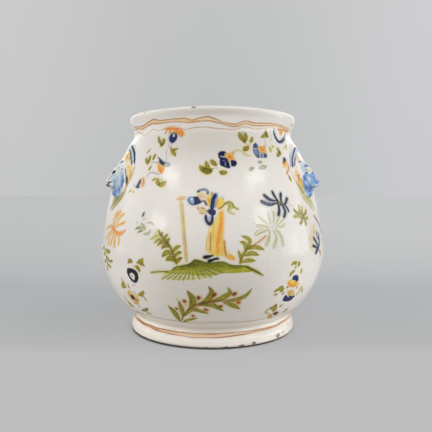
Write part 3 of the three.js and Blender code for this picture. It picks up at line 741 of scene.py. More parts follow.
        ("umber dot", (34.6, 0.36, 440, 1350)), ("orange leaf", (18, 0.35, 390, 1428, 490, 1420)),
    ]),
}


# a sprig's middle, and its touches laid out on the pot
def readSprig(place, groups):
    column, row, times = enlarged[place]
    read = []
    for pigment, brush, width, load, points in eachTouch(groups):
        turns, alongs = onPot(points, (column, row), times)
        read.append((pigment, brush, width / times * hand["press"], load, turns, alongs))
    centre = np.vstack([np.stack(touched[-2:], 1) for touched in read]).mean(0)
    return centre, read


sprigBook = {name: readSprig(*sprig) for name, sprig in sprigs.items()}


# paints a sprig at its own place, or at a turn in degrees and a height, flipped or tilted
def paintSprig(name, turnTo=None, height=None, flip=False, tilt=0, size=1):
    (turn0, along0), touches = sprigBook[name]
    turn1 = turn0 if turnTo is None else math.radians(turnTo)
    along1 = along0 if height is None else alongAt(height)
    c, s = math.cos(math.radians(tilt)), math.sin(math.radians(tilt))
    for pigment, brush, width, load, turns, alongs in touches:
        dx = (turns - turn0) * np.interp(alongs, rowS, rowR) * size * (-1 if flip else 1)
        dy = (alongs - along0) * size
        x, y = dx * c - dy * s, along1 + dx * s + dy * c
        touchPot(pigment, brush, width * size, load, turn1 + x / np.interp(y, rowS, rowR), y)


for name in sprigs:
    paintSprig(name)

# Wavy bands: pigment, width, load, the points seen from the front (column, row), and those behind
# (turn, height)
bands = [
    ("bandFill", 4.0, 0.62, (134, 129.2, 139, 128.4, 143, 128, 153, 121.4, 160, 122, 176, 120.2, 184, 120,
         192, 121.4, 200, 119.6, 208, 118.8, 215, 120.6, 223, 123.4, 231, 125, 237, 125.6, 242, 123.2,
         248, 122.6, 253, 124.4, 272, 124.8, 280, 126, 286, 128.6),
     (90, 225.5, 110, 228, 130, 225.6, 150, 227.4, 172, 226, 190, 228.4, 212, 225.4, 235, 227.8,
      255, 225.6)),
    ("tan", 0.85, 1.1, (134, 127.5, 139, 126.8, 143.3, 126, 153.9, 119, 160.4, 120.6, 175.5, 118.7,
         178.8, 119.2, 184.2, 117.9, 192.3, 120.6, 199.9, 117.9, 208, 116.5, 214.6, 118.7, 223.1, 122.6,
         231.3, 123.9, 236.7, 124.6, 240.5, 122.2, 245.4, 121.1, 248.6, 121.4, 252.9, 123, 258.4, 123.3,
         271.9, 123.6, 276.2, 124.4, 280, 125.2, 285.5, 127.6, 290, 129.6),
     (92, 227, 110, 229.8, 130, 227, 150, 229, 172, 227.6, 190, 230, 212, 227, 235, 229.4, 255, 227.4)),
    ("tan", 0.8, 1.05, (135.7, 129.5, 139, 128.4, 142.7, 129.4, 152.2, 123.8, 158.7, 123.6, 175.5, 121.7,
         178.8, 122, 191.2, 122.5, 197.2, 121.4, 209.7, 120.9, 215, 122, 222.6, 124, 228.6, 125.8,
         232.9, 126.8, 237.8, 126.6, 243.2, 123.8, 247.5, 123.8, 252.4, 125.5, 258.4, 126, 271.9, 125.7,
         280, 126.6, 286, 129.5, 290, 131.6),
     (92, 223.6, 110, 226, 130, 223.8, 150, 225.6, 172, 224.2, 190, 226.4, 212, 223.6, 235, 226,
      255, 223.4)),
    ("tan", 0.75, 0.8, (136, 133.3, 139.8, 132.5, 144.4, 135.5, 153.9, 129, 159.3, 131.2, 164.7, 128.7,
         176, 129, 187, 129.5, 192, 128.3, 195, 127.4, 208, 127.1, 215, 128.4, 231.3, 129.5, 236.7, 129.3,
         240.5, 127.9, 243.7, 126.8, 247.5, 127.1, 255.1, 129.5, 261.6, 128.5, 271.9, 127.9, 280, 129.3,
         290, 133),
     (92, 218.4, 112, 220.6, 132, 218.6, 152, 220.4, 172, 218.8, 192, 220.8, 212, 218.4, 235, 220.6,
      255, 218.2)),
    ("tan", 0.8, 0.75, (140.5, 312.9, 152, 316.7, 159.5, 318.4, 174.4, 320.6, 181.3, 321.8, 192.8, 323,
         199.7, 323, 215, 322.6, 228.6, 322.3, 239.9, 322, 247.5, 321.4, 252.9, 320.7, 261, 319.4,
         273.7, 316.6, 280, 314),
     (92, 27.2, 120, 28, 150, 27, 180, 28.2, 210, 27.2, 240, 28, 262, 27.4)),
    ("tan", 1.05, 1.45, (139.4, 319.5, 144, 323, 149.7, 324.9, 157.2, 328.2, 161.8, 328.9, 168.7, 330.4,
         175.6, 331.6, 182.5, 332.1, 191.7, 333.4, 215, 333.8, 225.8, 333.1, 236.7, 332.1, 247.5, 331.2,
         255.7, 329.9, 263.8, 328.6, 269.2, 327.1, 276.2, 324.9, 282.2, 321.3),
     (92, 14.2, 120, 14.6, 150, 14, 180, 14.7, 210, 14.1, 240, 14.6, 262, 14.2)),
    ("tan", 1.0, 1.25, (139.4, 320.8, 144, 324.4, 149.7, 326.6, 157.2, 330.4, 168.7, 333.4, 175.6, 335,
         182.5, 336, 191.7, 337.4, 215, 337.6, 225.8, 336.8, 236.7, 335.2, 247.5, 333.6, 255.7, 331.6,
         263.8, 329.8, 269.2, 328.2, 276.2, 325.9, 282.2, 322.2),
     (92, 12, 120, 12.4, 150, 11.6, 180, 12.6, 210, 11.8, 240, 12.4, 262, 12)),
    ("peach", 3.0, 0.55, (139.4, 320.1, 144, 323.7, 157.2, 329.1, 175.6, 333, 191.7, 335.1, 215, 335.3,
         236.7, 333.3, 255.7, 330.6, 269.2, 327.6, 282.2, 321.7),
     (92, 13.1, 120, 13.5, 150, 12.8, 180, 13.6, 210, 13, 240, 13.5, 262, 13.1)),
]
bandBrush = {
    "evened": 12,      # passes
    # how much colour it leaves, by degrees from the front
    "strength": ((-90, 1), (-40, 1.1), (0, 1), (35, 0.75), (55, 0.45), (75, 0.4), (100, 1)),
    "swells": (0.75, 0.5, 14), "fades": (0.6, 0.5, 30),      # least, how much more, and how far apart
}


# the value at a place between two of the stops (place, value)
def between(place, stops):
    return np.interp(place, *np.transpose(stops))


def paintBand(pigment, width, load, seen, behind):
    turns, alongs = onPot(seen)
    b = np.array(behind, float).reshape(-1, 2)
    turns, alongs = np.r_[turns, np.radians(b[:, 0])], np.r_[alongs, alongAt(b[:, 1])]
    order = np.argsort(turns)
    turns, alongs = turns[order], alongs[order]
    middle = np.interp(colTurn, np.r_[turns, turns + 2 * math.pi], np.r_[alongs, alongs])
    for _ in range(bandBrush["evened"]):
        middle = 0.25 * np.roll(middle, 1) + 0.5 * middle + 0.25 * np.roll(middle, -1)
    least, more, apart = bandBrush["swells"]
    thick = width * (least + more * drifting(apart))
    slope = np.gradient(middle) / (np.interp(middle, rowS, rowR) * 2 * math.pi / nCols)
    depth = thick[None, :] / 2 - np.abs(rowS[:, None] - middle[None, :]) / np.hypot(1, slope)[None, :]
    cover = np.clip(0.5 + depth / hand["soft"], 0, 1)
    least, more, apart = bandBrush["fades"]
    amount = load * (least + 0.5 * granular + more * drifting(apart)[None, :])
    amount = amount * between(np.degrees(fromFront), bandBrush["strength"])[None, :]
    stain = np.exp(-absorbs[pigment] * amount[..., None])
    paint[:] = paint * (1 - cover[..., None] * (1 - stain))


for band in bands:
    paintBand(*band)
# a heavier touch of orange on the foot, at the left
heavier = [("orange line", (2.8, 0.2, 140, 320.5, 145, 324.2, 151, 326.4, 158, 329.4),
            (2.8, 0.1, 157, 329.4, 165, 331.4))]
for pigment, brush, width, load, points in eachTouch(heavier):
    touchPot(pigment, brush, width, load, *onPot(points))

# The panels between the masks round the back, in the same hand: sprig, turn, height, flipped, tilt, size
behind = [
    ("mound", 120, 66, True), ("mound", 238, 66), ("leftFern", 143, 78, True, 0, 1.05),
    ("rightFern", 96, 80, True), ("leftFern", 262, 78, True), ("rightFern", 214, 80, True, 0, 1.1),
    ("bluePetals", 121, 138, False, 0, 1.45), ("orangeRays", 104, 118, True, 10),
    ("blueRays", 140, 122, True, 0, 1.1), ("greenRays", 121, 100, False, 0, 1.2),
    ("lowSprig", 121, 92, False, 0, 1.1), ("bluePetals", 239, 136, True, 0, 1.4),
    ("greenRays", 256, 122, True), ("blueRays", 222, 118, False, 20, 1.1),
    ("paleRays", 239, 98, True, 0, 0.9), ("orangeRays", 262, 104, False, 0, 0.8),
    ("darkHeart", 240, 84, False, 0, 0.9), ("branch", 121, 40, True, 0, 0.92),
    ("branch", 238, 40, False, 0, 0.92), ("lowSprig", 160, 62, True), ("darkEye", 180, 74),
    ("darkHeart", 181, 54), ("edgeFern", 168, 100, True), ("edgeFern", 193, 100), ("lowSprig", 202, 62),
    ("orangeCrown", 150, 208, True), ("leftLeaf", 158, 196, True), ("bluePetals", 115, 198, True),
    ("blueCup", 88, 208, True), ("neckLeaves", 98, 202, True), ("orangeCrown", 208, 208),
    ("leftLeaf", 201, 196), ("bluePetals", 240, 198), ("neckLeaves", 262, 202), ("blueCup", 270, 208),
    ("greyBell", 152, 180, True), ("greyBell", 206, 180), ("littleBud", 88, 172, True),
    ("littleBud", 270, 172), ("greySprig", 104, 158, True), ("greySprig", 254, 160),
    ("darkEye", 84, 74, True), ("darkHeart", 82, 52, True), ("lowSprig", 278, 56, True),
]
for placed in behind:
    paintSprig(*placed)

# A spray of leaves sweeps under each mask, read where the photograph shows the left one
bib = [
    ("olive leaf", (6.6, 1.0, 125.6, 187.8, 120, 194.6, 114.6, 201, 109.6, 211),
        (4.6, 0.9, 126.4, 188.8, 121.4, 197.4, 115.4, 204.6, 111.4, 211.4)),
    ("leaf leaf", (4.2, 0.7, 121.4, 190.6, 115.6, 195.6, 112, 202.4)),
    ("deepGreen leaf", (2.4, 0.9, 123, 191.2, 117.6, 197.6, 113.4, 205)),
]
maskMiddle = 178      # height
maskTurns = {"maskRight": 60, "maskBack": 180, "maskLeft": 300}
# how strong it is, and which way it sweeps
sprays = {"maskRight": (0.42, -1), "maskBack": (0.9, 1), "maskLeft": (1, 1)}
toLeftMask = math.radians(360 - maskTurns["maskLeft"])
for mask, (strength, way) in sprays.items():
    for pigment, brush, width, load, points in eachTouch(bib):
        turns, alongs = onPot(points)
        turns = math.radians(maskTurns[mask]) + way * (turns + toLeftMask)
        touchPot(pigment, brush, width, load * strength, turns, alongs)

# Painted light and shade in the glaze's colour: lighter or darker by height, painted shade in the hollows at
# the front, painted light and shade on the sides, and a warm tint low down
glazeTintAndPaintedShade = {
    "brightest": 1.2,
    # painted light and shade by height: much lighter at the foot's lower edge and in the groove over the
    # foot, a little darker from the belly up to the neck root
    "white": ((0, 1.35), (3, 1.3), (6, 1.08), (10, 0.96), (14, 0.98), (17, 1.1), (19, 1.24), (21.5, 1.2),
              (24, 1.12), (28, 1.05), (36, 1.01), (66, 1.0), (84, 0.97), (104, 0.95), (140, 0.955),
              (158, 0.985), (176, 0.955), (190, 0.945), (206, 0.935), (214, 0.94), (221, 0.98), (228, 1.01),
              (240, 1.0)),
    # painted shade in the hollows at the front: the groove over the foot, the lower belly, the neck root and
    # the neck, tinted a little blue
    "paintedShadeFront": ((10, 0), (14, 0.07), (17, 0.26), (20, 0.1), (24, 0.02), (30, 0), (46, 0.15), (58, 0.2),
                  (70, 0.2), (84, 0.14), (106, 0.07), (122, 0.03), (150, 0), (176, 0.02), (188, 0.1),
                  (200, 0.2), (213, 0.23), (221, 0.06), (226, 0.0), (230, 0.03), (232.4, 0.22), (235, 0.24),
                  (238, 0.08), (240, 0.0)),
    "paintedShadeWidth": 0.62,             # radians
    "paintedShadeTint": (0.97, 1, 1.1),
    # painted light and shade on the sides, away from the front: lighter on the lower belly, darker on the
    # upper belly
    "sides": ((20, 1.04), (40, 1.08), (62, 1.1), (80, 1.08), (92, 1.01), (104, 0.96), (118, 0.94),
              (150, 0.94), (166, 0.97), (182, 1.0), (240, 1.0)),
    # painted light and shade on the sides again, on the right alone
    "right": ((20, 1.0), (34, 1.02), (56, 1.045), (76, 1.045), (92, 1.02), (104, 0.97), (124, 0.94),
              (140, 0.96), (160, 0.985), (240, 0.99)),
    "sidesFrom": (14, 44), "sidesTo": 1.9,      # degrees from the front, and where they end in radians
    "warmFoot": ((18, 1), (55, 0)), "warmTint": (1, 0.985, 0.955),
}
paint[:] = np.minimum(paint, glazeTintAndPaintedShade["brightest"])
# painted shade at the front, fading towards the sides
paintedShade = between(rowZ, glazeTintAndPaintedShade["paintedShadeFront"])[:, None]
paintedShade = paintedShade * np.exp(-(fromFront / glazeTintAndPaintedShade["paintedShadeWidth"]) ** 2)[None, :]
# painted light and shade on the sides, and again on the right
toSide = (np.abs(np.degrees(fromFront)) - glazeTintAndPaintedShade["sidesFrom"][0]) / np.ptp(glazeTintAndPaintedShade["sidesFrom"])
toSide = eased(np.clip(toSide, 0, 1)) * (np.abs(fromFront) < glazeTintAndPaintedShade["sidesTo"])
for part, share in (("sides", toSide), ("right", toSide * (fromFront > 0))):
    paint *= 1 + (between(rowZ, glazeTintAndPaintedShade[part])[:, None] - 1)[..., None] * share[None, :, None]
# painted light and shade by height
paint *= between(rowZ, glazeTintAndPaintedShade["white"])[:, None, None]
paint *= 1 - paintedShade[..., None] * np.array(glazeTintAndPaintedShade["paintedShadeTint"])
paint *= 1 - between(rowZ, glazeTintAndPaintedShade["warmFoot"])[:, None, None] * (1 - np.array(glazeTintAndPaintedShade["warmTint"]))

# Wear. Each chip: turn, height, width and height of the chip, and how deep
chips = [
    (-11.3, 239, 5.0, 2.8, 0.5), (-48.5, 239, 2.8, 2.0, 0.4), (-31, 240, 1.8, 1.2, 0.3),
    (23, 240, 1.4, 1.0, 0.3), (139, 240, 5.0, 2.6, 0.8), (206, 240, 2.6, 1.8, 0.5),
    (251, 240, 3.4, 1.8, 0.5), (47, 3.4, 8.4, 4.6, 0.4), (53, 5.0, 3.6, 3.0, 0.3),
    (63, 9.5, 2.2, 2.6, 0.3), (70, 7.0, 2.0, 3.0, 0.3), (18, 1.0, 7.5, 2.0, 0.6), (8, 0.4, 6.0, 1.2, 0.5),
    (26.5, 1.8, 6.0, 2.8, 0.5), (-4, 0.3, 6.0, 1.0, 0.4), (-58, 0.8, 3.0, 1.4, 0.4),
    (100, 1.0, 6.5, 2.2, 0.5), (168, 1.4, 5, 2.6, 0.6), (236, 1.0, 7, 2.2, 0.5),
]
wear = {
    "rubbed": 0.85,      # how bare a chip on the side of the foot is
    # the bare edge that the foot stands on: least, how much more at the front, where that is and its measure
    "edge": (0.22, 0.6), "edgeFront": (0.55, 0.45, 0.25), "footGirth": 560,
    "lipThin": 0.16, "lipAt": 0.6,      # how thin the glaze is on the lip, and how far below its top
}
ragged = cloud(1.3, nRows, nCols, rowS[-1])
for turnTo, z, wide, tall, deep in chips:
    along = rowS[topRow] if z == potHeight else alongAt(z)
    away = (colTurn[None, :] - math.radians(turnTo) + math.pi) % (2 * math.pi) - math.pi
    far = np.hypot(away * rowR[:, None] / (wide / 2), (rowS[:, None] - along) / (tall / 2))
    far = far + 0.7 * (ragged - 0.5)
    lost = np.clip((1.05 - far) * 5, 0, 1)
    bareClay[:] = np.maximum(bareClay, lost * (wear["rubbed"] if 2 < z < 100 else 1))
    worn[:] = np.maximum(worn, deep * np.clip((1.15 - far) * 2.2, 0, 1))
(least, more), (steady, atFront, frontTurn) = wear["edge"], wear["edgeFront"]
edge = drifting(9, wear["footGirth"]) * (steady + atFront * np.cos(colTurn - frontTurn)) ** 2
edge = least + more * edge
edge = np.clip((edge[None, :] - rowZ[:, None] + 0.5 * (ragged - 0.5)) * 3, 0, 1) * (rowS[:, None] < 20)
bareClay[:] = np.maximum(bareClay, edge)
thinLip = np.exp(-(rowS - rowS[topRow] + wear["lipAt"]) ** 2)[:, None] * np.clip(ragged * 2.4 - 1.1, 0, 1)
paint *= 1 - wear["lipThin"] * thinLip[..., None] * (1 - toLinear(pigments["rust"]))
print("painting: bands, back panels and wear are done")

glazeLook = {
    "white": (0.779, 0.736, 0.684), "cool": (0.760, 0.730, 0.688), "gloss": 0.11, "glossDrift": 0.06,
    "clay": (0.15, 0.1, 0.07), "palerClay": (0.42, 0.31, 0.23), "pinholes": (0.33, 0.25, 0.18),
    "driftSize": 9, "ripple": 70, "orangePeel": 900, "mottle": 240, "specks": 260, "speckGroups": 90,
    "depth": 1.4,      # index of refraction: painted darks stay deep under the gloss
}


# adds nodes to a material or a world; an input is a value or the socket that it comes from
def nodeMaker(material):
    nodes, links = material.node_tree.nodes, material.node_tree.links

    def add(kind, inputs=None, **settings):
        node = nodes.new("ShaderNode" + kind)
        for key, value in settings.items():
            setattr(node, key, value)
        for key, value in (inputs or {}).items():
            if isinstance(value, bpy.types.NodeSocket):
                links.new(value, node.inputs[key])
            else:
                node.inputs[key].default_value = value
        return node
    return add, links


def colourMix(add, factor, a, b, how="MIX"):
    node = add("Mix", data_type="RGBA", blend_type=how)
    for slot, value in ((0, factor), (6, a), (7, b)):
        if isinstance(value, bpy.types.NodeSocket):
            node.id_data.links.new(value, node.inputs[slot])
        else:
            node.inputs[slot].default_value = value if slot == 0 else (*value[:3], 1)
    return node.outputs[2]


# the colour, made lighter or darker by a value
def toned(add, colour, value):
    grey = add("CombineColor", {"Red": value, "Green": value, "Blue": value}).outputs["Color"]
    return colourMix(add, 1.0, colour, grey, "MULTIPLY")


# a value taken from one range to another
def mapped(add, value, low, high, toLow=0.0, toHigh=1.0, **settings):
    limits = {"Value": value, "From Min": low, "From Max": high, "To Min": toLow, "To Max": toHigh}
    return add("MapRange", limits, **settings).outputs["Result"]


def product(add, a, b):
    return add("Math", {0: a, 1: b}, operation="MULTIPLY").outputs["Value"]


# a colour that follows a value, through stops of place and linear colour
def colourRamp(add, value, stops):
    low, high = stops[0][0], stops[-1][0]
    node = add("ValToRGB", {"Fac": mapped(add, value, low, high)})
    elements = node.color_ramp.elements
    elements[0].color, elements[-1].color = (*stops[0][1], 1), (*stops[-1][1], 1)
    for spot, colour in stops[1:-1]:
        elements.new((spot - low) / (high - low)).color = (*colour, 1)
    return node.outputs["Color"]


def glazeMaterial(name, look):
    material = bpy.data.materials.new(name)
    material.use_nodes = True
    shader = material.node_tree.nodes["Principled BSDF"]
    add, links = nodeMaker(material)
    place = add("TexCoord").outputs["Object"]
    painted = add("Attribute", attribute_name="paint").outputs["Color"]
    bare = add("Attribute", attribute_name="bareClay").outputs["Fac"]

    def noise(size, detail, **more):
        node = add("TexNoise", {"Vector": place, "Scale": look[size], "Detail": detail, **more})
        return node.outputs["Fac"]

    drift, fine = noise("driftSize", 3), noise("orangePeel", 2)
    mottled = noise("mottle", 3, Roughness=0.65)
    specks = add("TexVoronoi", {"Vector": place, "Scale": look["specks"], "Randomness": 1.0})

    white = colourMix(add, mapped(add, drift, 0.35, 0.65), look["white"], look["cool"])
    white = toned(add, white, mapped(add, mottled, 0.3, 0.7, 0.975, 1.015))
    pin = mapped(add, specks.outputs["Distance"], 0.07, 0.12, 1.0, 0.0)
    pin = product(add, pin, mapped(add, noise("speckGroups", 1), 0.6, 0.66))
    white = colourMix(add, product(add, pin, 0.55), white, look["pinholes"])
    glazed = colourMix(add, 1.0, white, painted, "MULTIPLY")
    sandy = colourMix(add, mottled, look["clay"], look["palerClay"])
    links.new(colourMix(add, bare, glazed, sandy), shader.inputs["Base Color"])

    gloss = mapped(add, drift, 0.3, 0.7, look["gloss"], look["gloss"] + look["glossDrift"])
    links.new(add("Mix", {0: bare, 2: gloss, 3: 0.85}).outputs[0], shader.inputs["Roughness"])
    shader.inputs["IOR"].default_value = look["depth"]

    def bumped(height, strength, distance, **under):
        limits = {"Height": height, "Strength": strength, "Distance": distance, **under}
        return add("Bump", limits).outputs["Normal"]

    normal = bumped(noise("ripple", 1), 0.5, 0.0006)
    normal = bumped(fine, 0.12, 0.0002, Normal=normal)
    normal = bumped(product(add, mottled, bare), 0.9, 0.0006, Normal=normal)
    links.new(normal, shader.inputs["Normal"])
    return material


glaze = glazeMaterial("tinGlaze", glazeLook)
print("look: tin glaze")

# The map for the looks: shares of a unit square
mapping = {
    "margin": 0.006, "strips": 0.99, "acrossUsed": 0.985, "upUsed": 0.97,
    "insideSqueeze": 0.3,
    "disc": (0.99, 0.005),                      # middle and size of the small discs
    "maskFront": ((0.37, 0.5), (90, 62)),       # middle, and millimetres to a unit across and up
    "maskBack": ((0.86, 0.2), (280, 200)),
    "maskEdge": (0.745, 0.755, 0.02, 0.96),     # from and to across, and from and how far up
}


def layer(mesh, name, values):
    values = np.asarray(values, np.float32)
    if values.ndim == 2:
        item = mesh.color_attributes.new(name=name, type="FLOAT_COLOR", domain="POINT")
        rgba = np.ones((len(values), 4), np.float32)
        rgba[:, :3] = values
        item.data.foreach_set("color", rgba.ravel())
    else:
        item = mesh.attributes.new(name=name, type="FLOAT", domain="POINT")
        item.data.foreach_set("value", values)


# faces: groups of triangles, quads or discs, with the map's corners in the same order
def meshFrom(name, place, faces, colours, clay, uv, sharpAngle):
    mesh = bpy.data.meshes.new(name)
    mesh.vertices.add(len(place))
    mesh.vertices.foreach_set("co", np.asarray(place, np.float32).ravel())
    loops = np.concatenate([np.asarray(group).ravel() for group in faces]).astype(np.int32)
    sizes = np.concatenate([np.full(len(group), len(group[0])) for group in faces])
    mesh.loops.add(len(loops))
    mesh.loops.foreach_set("vertex_index", loops)
    mesh.polygons.add(len(sizes))
    mesh.polygons.foreach_set("loop_start", np.r_[0, np.cumsum(sizes)[:-1]].astype(np.int32))
    mesh.update(calc_edges=True)
    mesh.polygons.foreach_set("use_smooth", np.ones(len(sizes), bool))
    mesh.set_sharp_from_angle(angle=math.radians(sharpAngle))
    uvLayer = mesh.uv_layers.new(name="OFBake")
    uvLayer.data.foreach_set("uv", np.vstack(uv).astype(np.float32).ravel())
    layer(mesh, "paint", colours)
    layer(mesh, "bareClay", clay)
    mesh.materials.append(glaze)
    piece = bpy.data.objects.new(name, mesh)
    bpy.context.collection.objects.link(piece)
    return piece


# radius and height of a place on the pot, with the marks of the hand
def handThrown(r, z, turns, outside):
    out = pot["wobble"] * (0.6 * np.sin(2 * turns + 0.7 + z / 140) + 0.4 * np.sin(3 * turns + z / 60))
    lines = np.sin(z * 2.05 + 1.5 * turns) * np.clip((z - 20) / 10, 0, 1)
    toRim = np.clip((z - pot["rimRiseFrom"]) / (potHeight - pot["rimRiseFrom"]), 0, 1)
    rise = pot["rimRise"] * np.sin(2 * turns + 1) * toRim ** 2
    return r + out + outside * pot["throwingLines"] * lines, z + rise


# round the pot's axis: 0 is the front
def aroundAxis(r, z, turns, axis):
    return np.stack([r * np.sin(turns), -r * np.cos(turns), z], axis) * mm


# a ring's map: strips of the outside stacked over one another, with the inside squeezed above them
def ringMap(profile, outside, i, j):
    steps = np.hypot(*np.diff(np.vstack([profile, profile[:1]]), axis=0).T)
    heights = np.r_[0, np.cumsum(steps * np.where(outside[:, 0] > 0, 1, mapping["insideSqueeze"]))]
    tall, wide = heights[len(i)], 2 * math.pi * profile[:, 0].max()
    strips = max(range(1, 9), key=lambda s: min(s / wide, 1 / (s * tall)))
    scale = min(mapping["acrossUsed"] * strips / wide, mapping["upUsed"] / (strips * tall))
    perStrip = -(-nCols // strips)
    strip = j // perStrip
    u0 = mapping["margin"] + (j - strip * perStrip) / nCols * wide * scale
    v0 = mapping["margin"] + strip * (mapping["strips"] / strips) + heights[i] * scale
    v1 = mapping["margin"] + strip * (mapping["strips"] / strips) + heights[i + 1] * scale
    u0, u1 = np.broadcast_to(u0, v0.shape), np.broadcast_to(u0 + wide * scale / nCols, v0.shape)
    return np.stack([u0, v0, u1, v0, u1, v1, u0, v1], 2).reshape(-1, 2)


# a thrown ring. profile: (radius, height) all round its section; its rows from first on are the canvas
# rows given
def turned(name, profile, first, canvasRows, replaced):
    n, count = len(profile), canvasRows[1] - canvasRows[0]
    canvas, seen = slice(*canvasRows), slice(first, first + count)
    outside, lost = np.zeros((n, 1)), np.zeros((n, nCols))
    colours, clay = np.ones((n, nCols, 3)), np.zeros((n, nCols))
    outside[seen], lost[seen], colours[seen], clay[seen] = 1, worn[canvas], paint[canvas], bareClay[canvas]
    clay[profile[:, 1] < 0.01] = 1      # unglazed underneath
    turns = np.broadcast_to(colTurn, (n, nCols))
    r, z = handThrown(profile[:, :1], profile[:, 1:], turns, outside)
    along = np.gradient(profile, axis=0)
    along /= np.hypot(*along.T)[:, None] + 1e-9
    place = aroundAxis(r - along[:, 1:] * lost, z + along[:, :1] * lost, turns, 2).reshape(-1, 3)

    ring = profile[0, 0] > 10      # a ring closes on itself, a dish is closed by two small discs
    i, j = np.arange(n if ring else n - 1)[:, None], np.arange(nCols)[None, :]
    here, above, across = i * nCols, (i + 1) % n * nCols, (j + 1) % nCols
    faces = [np.stack([here + j, here + across, above + across, above + j], 2).reshape(-1, 4)]
    uv = [ringMap(profile, outside, i, j)]
    if not ring:
        middle, size = mapping["disc"]
        for face in (np.arange(nCols)[::-1], (n - 1) * nCols + np.arange(nCols)):
            faces.append(face[None, :])
            uv.append(np.stack([middle + size * np.cos(colTurn), middle + size * np.sin(colTurn)], 1))
    piece = meshFrom(name, place, faces, colours.reshape(-1, 3), clay.ravel(), uv, 38)
    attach(piece, "root")
    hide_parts(replaced)


# the inside of the wall from one height down to another
def insideWall(fromZ, toZ):
    along = np.gradient(rows[:topRow], axis=0)
    along /= np.hypot(*along.T)[:, None]
    inner = rows[:topRow] + pot["wall"] * np.stack([-along[:, 1], along[:, 0]], 1)
    inner = inner[rowZ[:topRow] > 30]
    line = inner[(inner[:, 1] < fromZ) & (inner[:, 1] > toZ)]
    ends = [[[np.interp(z, inner[:, 1], inner[:, 0]), z]] for z in (toZ, fromZ)]
    return evenly(np.vstack([ends[0], line, ends[1]]), pot["insideStep"])[::-1]


# The sides that don't show: where the rings sit in one another, and the bowl's floor. Radii and heights.
hidden = {
    "footRest": 89, "footHollow": 84.7, "ledge": (80, 12, 15), "shelf": 86,      # the foot, and its shelf
    "spigot": (79.7, 13), "centre": 6, "bowlFloor": (62, 25),
    "bellyTongue": (125.45, 97), "bellyGroove": (125.75, 97.3),
    "neckTongue": (90, 217.5), "neckGroove": (90.3, 217.8), "throatTo": 235,
}
bellyZ, neckZ, footZ = rowZ[belly], rowZ[neck], rowZ[waist]

inner, low, high = hidden["ledge"]
footSection = np.vstack([
    rows[:waist + 1], [[hidden["shelf"], footZ], [inner, footZ], [inner, high], [inner, low]],
    evenly([[inner, low], [hidden["footHollow"], 0]], 3)[1:], [[hidden["footRest"], 0]]])
turned("footRing", footSection, 0, (0, waist + 1), "foot_ring")

spigot, centre, (tongue, tongueTop) = hidden["spigot"], hidden["centre"], hidden["bellyTongue"]
underBowl = np.vstack([[[centre, spigot[1]]], evenly([[centre, spigot[1]], spigot], 9)[1:],
                       [[spigot[0], footZ], [hidden["shelf"], footZ]]])
floorZ = hidden["bowlFloor"][1]
bowlSection = np.vstack([
    underBowl, rows[waist:belly + 1], [[tongue, bellyZ], hidden["bellyTongue"]],
    insideWall(tongueTop, floorZ), evenly([hidden["bowlFloor"], [centre, floorZ]], 7)])
turned("lowerBody", bowlSection, len(underBowl), (waist, belly + 1), "lower_body")

(groove, grooveTop), (tongue, tongueTop) = hidden["bellyGroove"], hidden["neckTongue"]
shoulderSection = np.vstack([
    [[groove, bellyZ]], rows[belly:neck + 1], [[tongue, neckZ], hidden["neckTongue"]],
    insideWall(tongueTop, grooveTop), [hidden["bellyGroove"]]])
turned("upperBody", shoulderSection, 1, (belly, neck + 1), "upper_body")

groove, grooveTop = hidden["neckGroove"]
neckSection = np.vstack([
    [[groove, neckZ]], rows[neck:], insideWall(hidden["throatTo"], grooveTop), [hidden["neckGroove"]]])
turned("neckCollar", neckSection, 1, (neck, nRows), "neck_collar")
print("pieces: foot, bowl, shoulder and neck")

# Lion masks: pressed in a mould, luted on, then painted
maskForm = {
    # the right half of the outline from the top: across and up
    "outline": ((0, 30), (5.5, 28.5), (11.5, 24), (16.8, 18), (21.2, 11.5), (25.8, 3), (26.6, -2.5),
                (25.4, -8.5), (22.7, -14), (18.8, -20), (11.6, -25.4), (6, -27.6), (0, -28.5)),
    # height from the middle, and how far the face stands off there
    "profile": ((-28.5, 1.5), (-26.4, 3.4), (-23.8, 4.6), (-21, 4.4), (-19.2, 5.2), (-17, 9.0), (-14.5, 12.2),
                (-11.2, 13.2), (-8, 12.8), (-4.5, 11.4), (-1, 10.2), (2, 9.0), (4, 7.9), (6, 6.9), (8.5, 5.6),
                (12, 4.8), (16, 4.0), (20, 3.4), (24, 2.8), (30, 1.2)),
    "faceHalf": 13.2, "foreheadIn": (4, 28.5), "muzzleIn": (3.2, -11, 6.5), "faceSquare": 2.3, "melts": 2.2,
    "mane": (4.0, 0.66, 0.2), "flatTop": 0.7,      # rise, and where between the middle and the edge it lies
    "locks": 18, "lockDepth": 0.9, "swirl": 2.4, "lockBelt": (0.74, 0.24), "scallop": 0.022,
    "mouth": (-18.6, 0.022, 2.0, 0.75), "mouthHalf": 7.5,      # height, curve, depth and width
    "crest": 0.9, "crestWidth": 8.2, "crestTop": 1.8, "crestRibs": (0.3, 1.5),
    "rings": 64, "backRings": 6, "spokes": 320,
    "edge": 1.0, "lutedEdge": 0.04, "gap": 0.08, "sunk": -0.06,
    "paintSoft": 1.3, "paintLoad": 0.88,      # in pixels of the photograph, and how strong
}
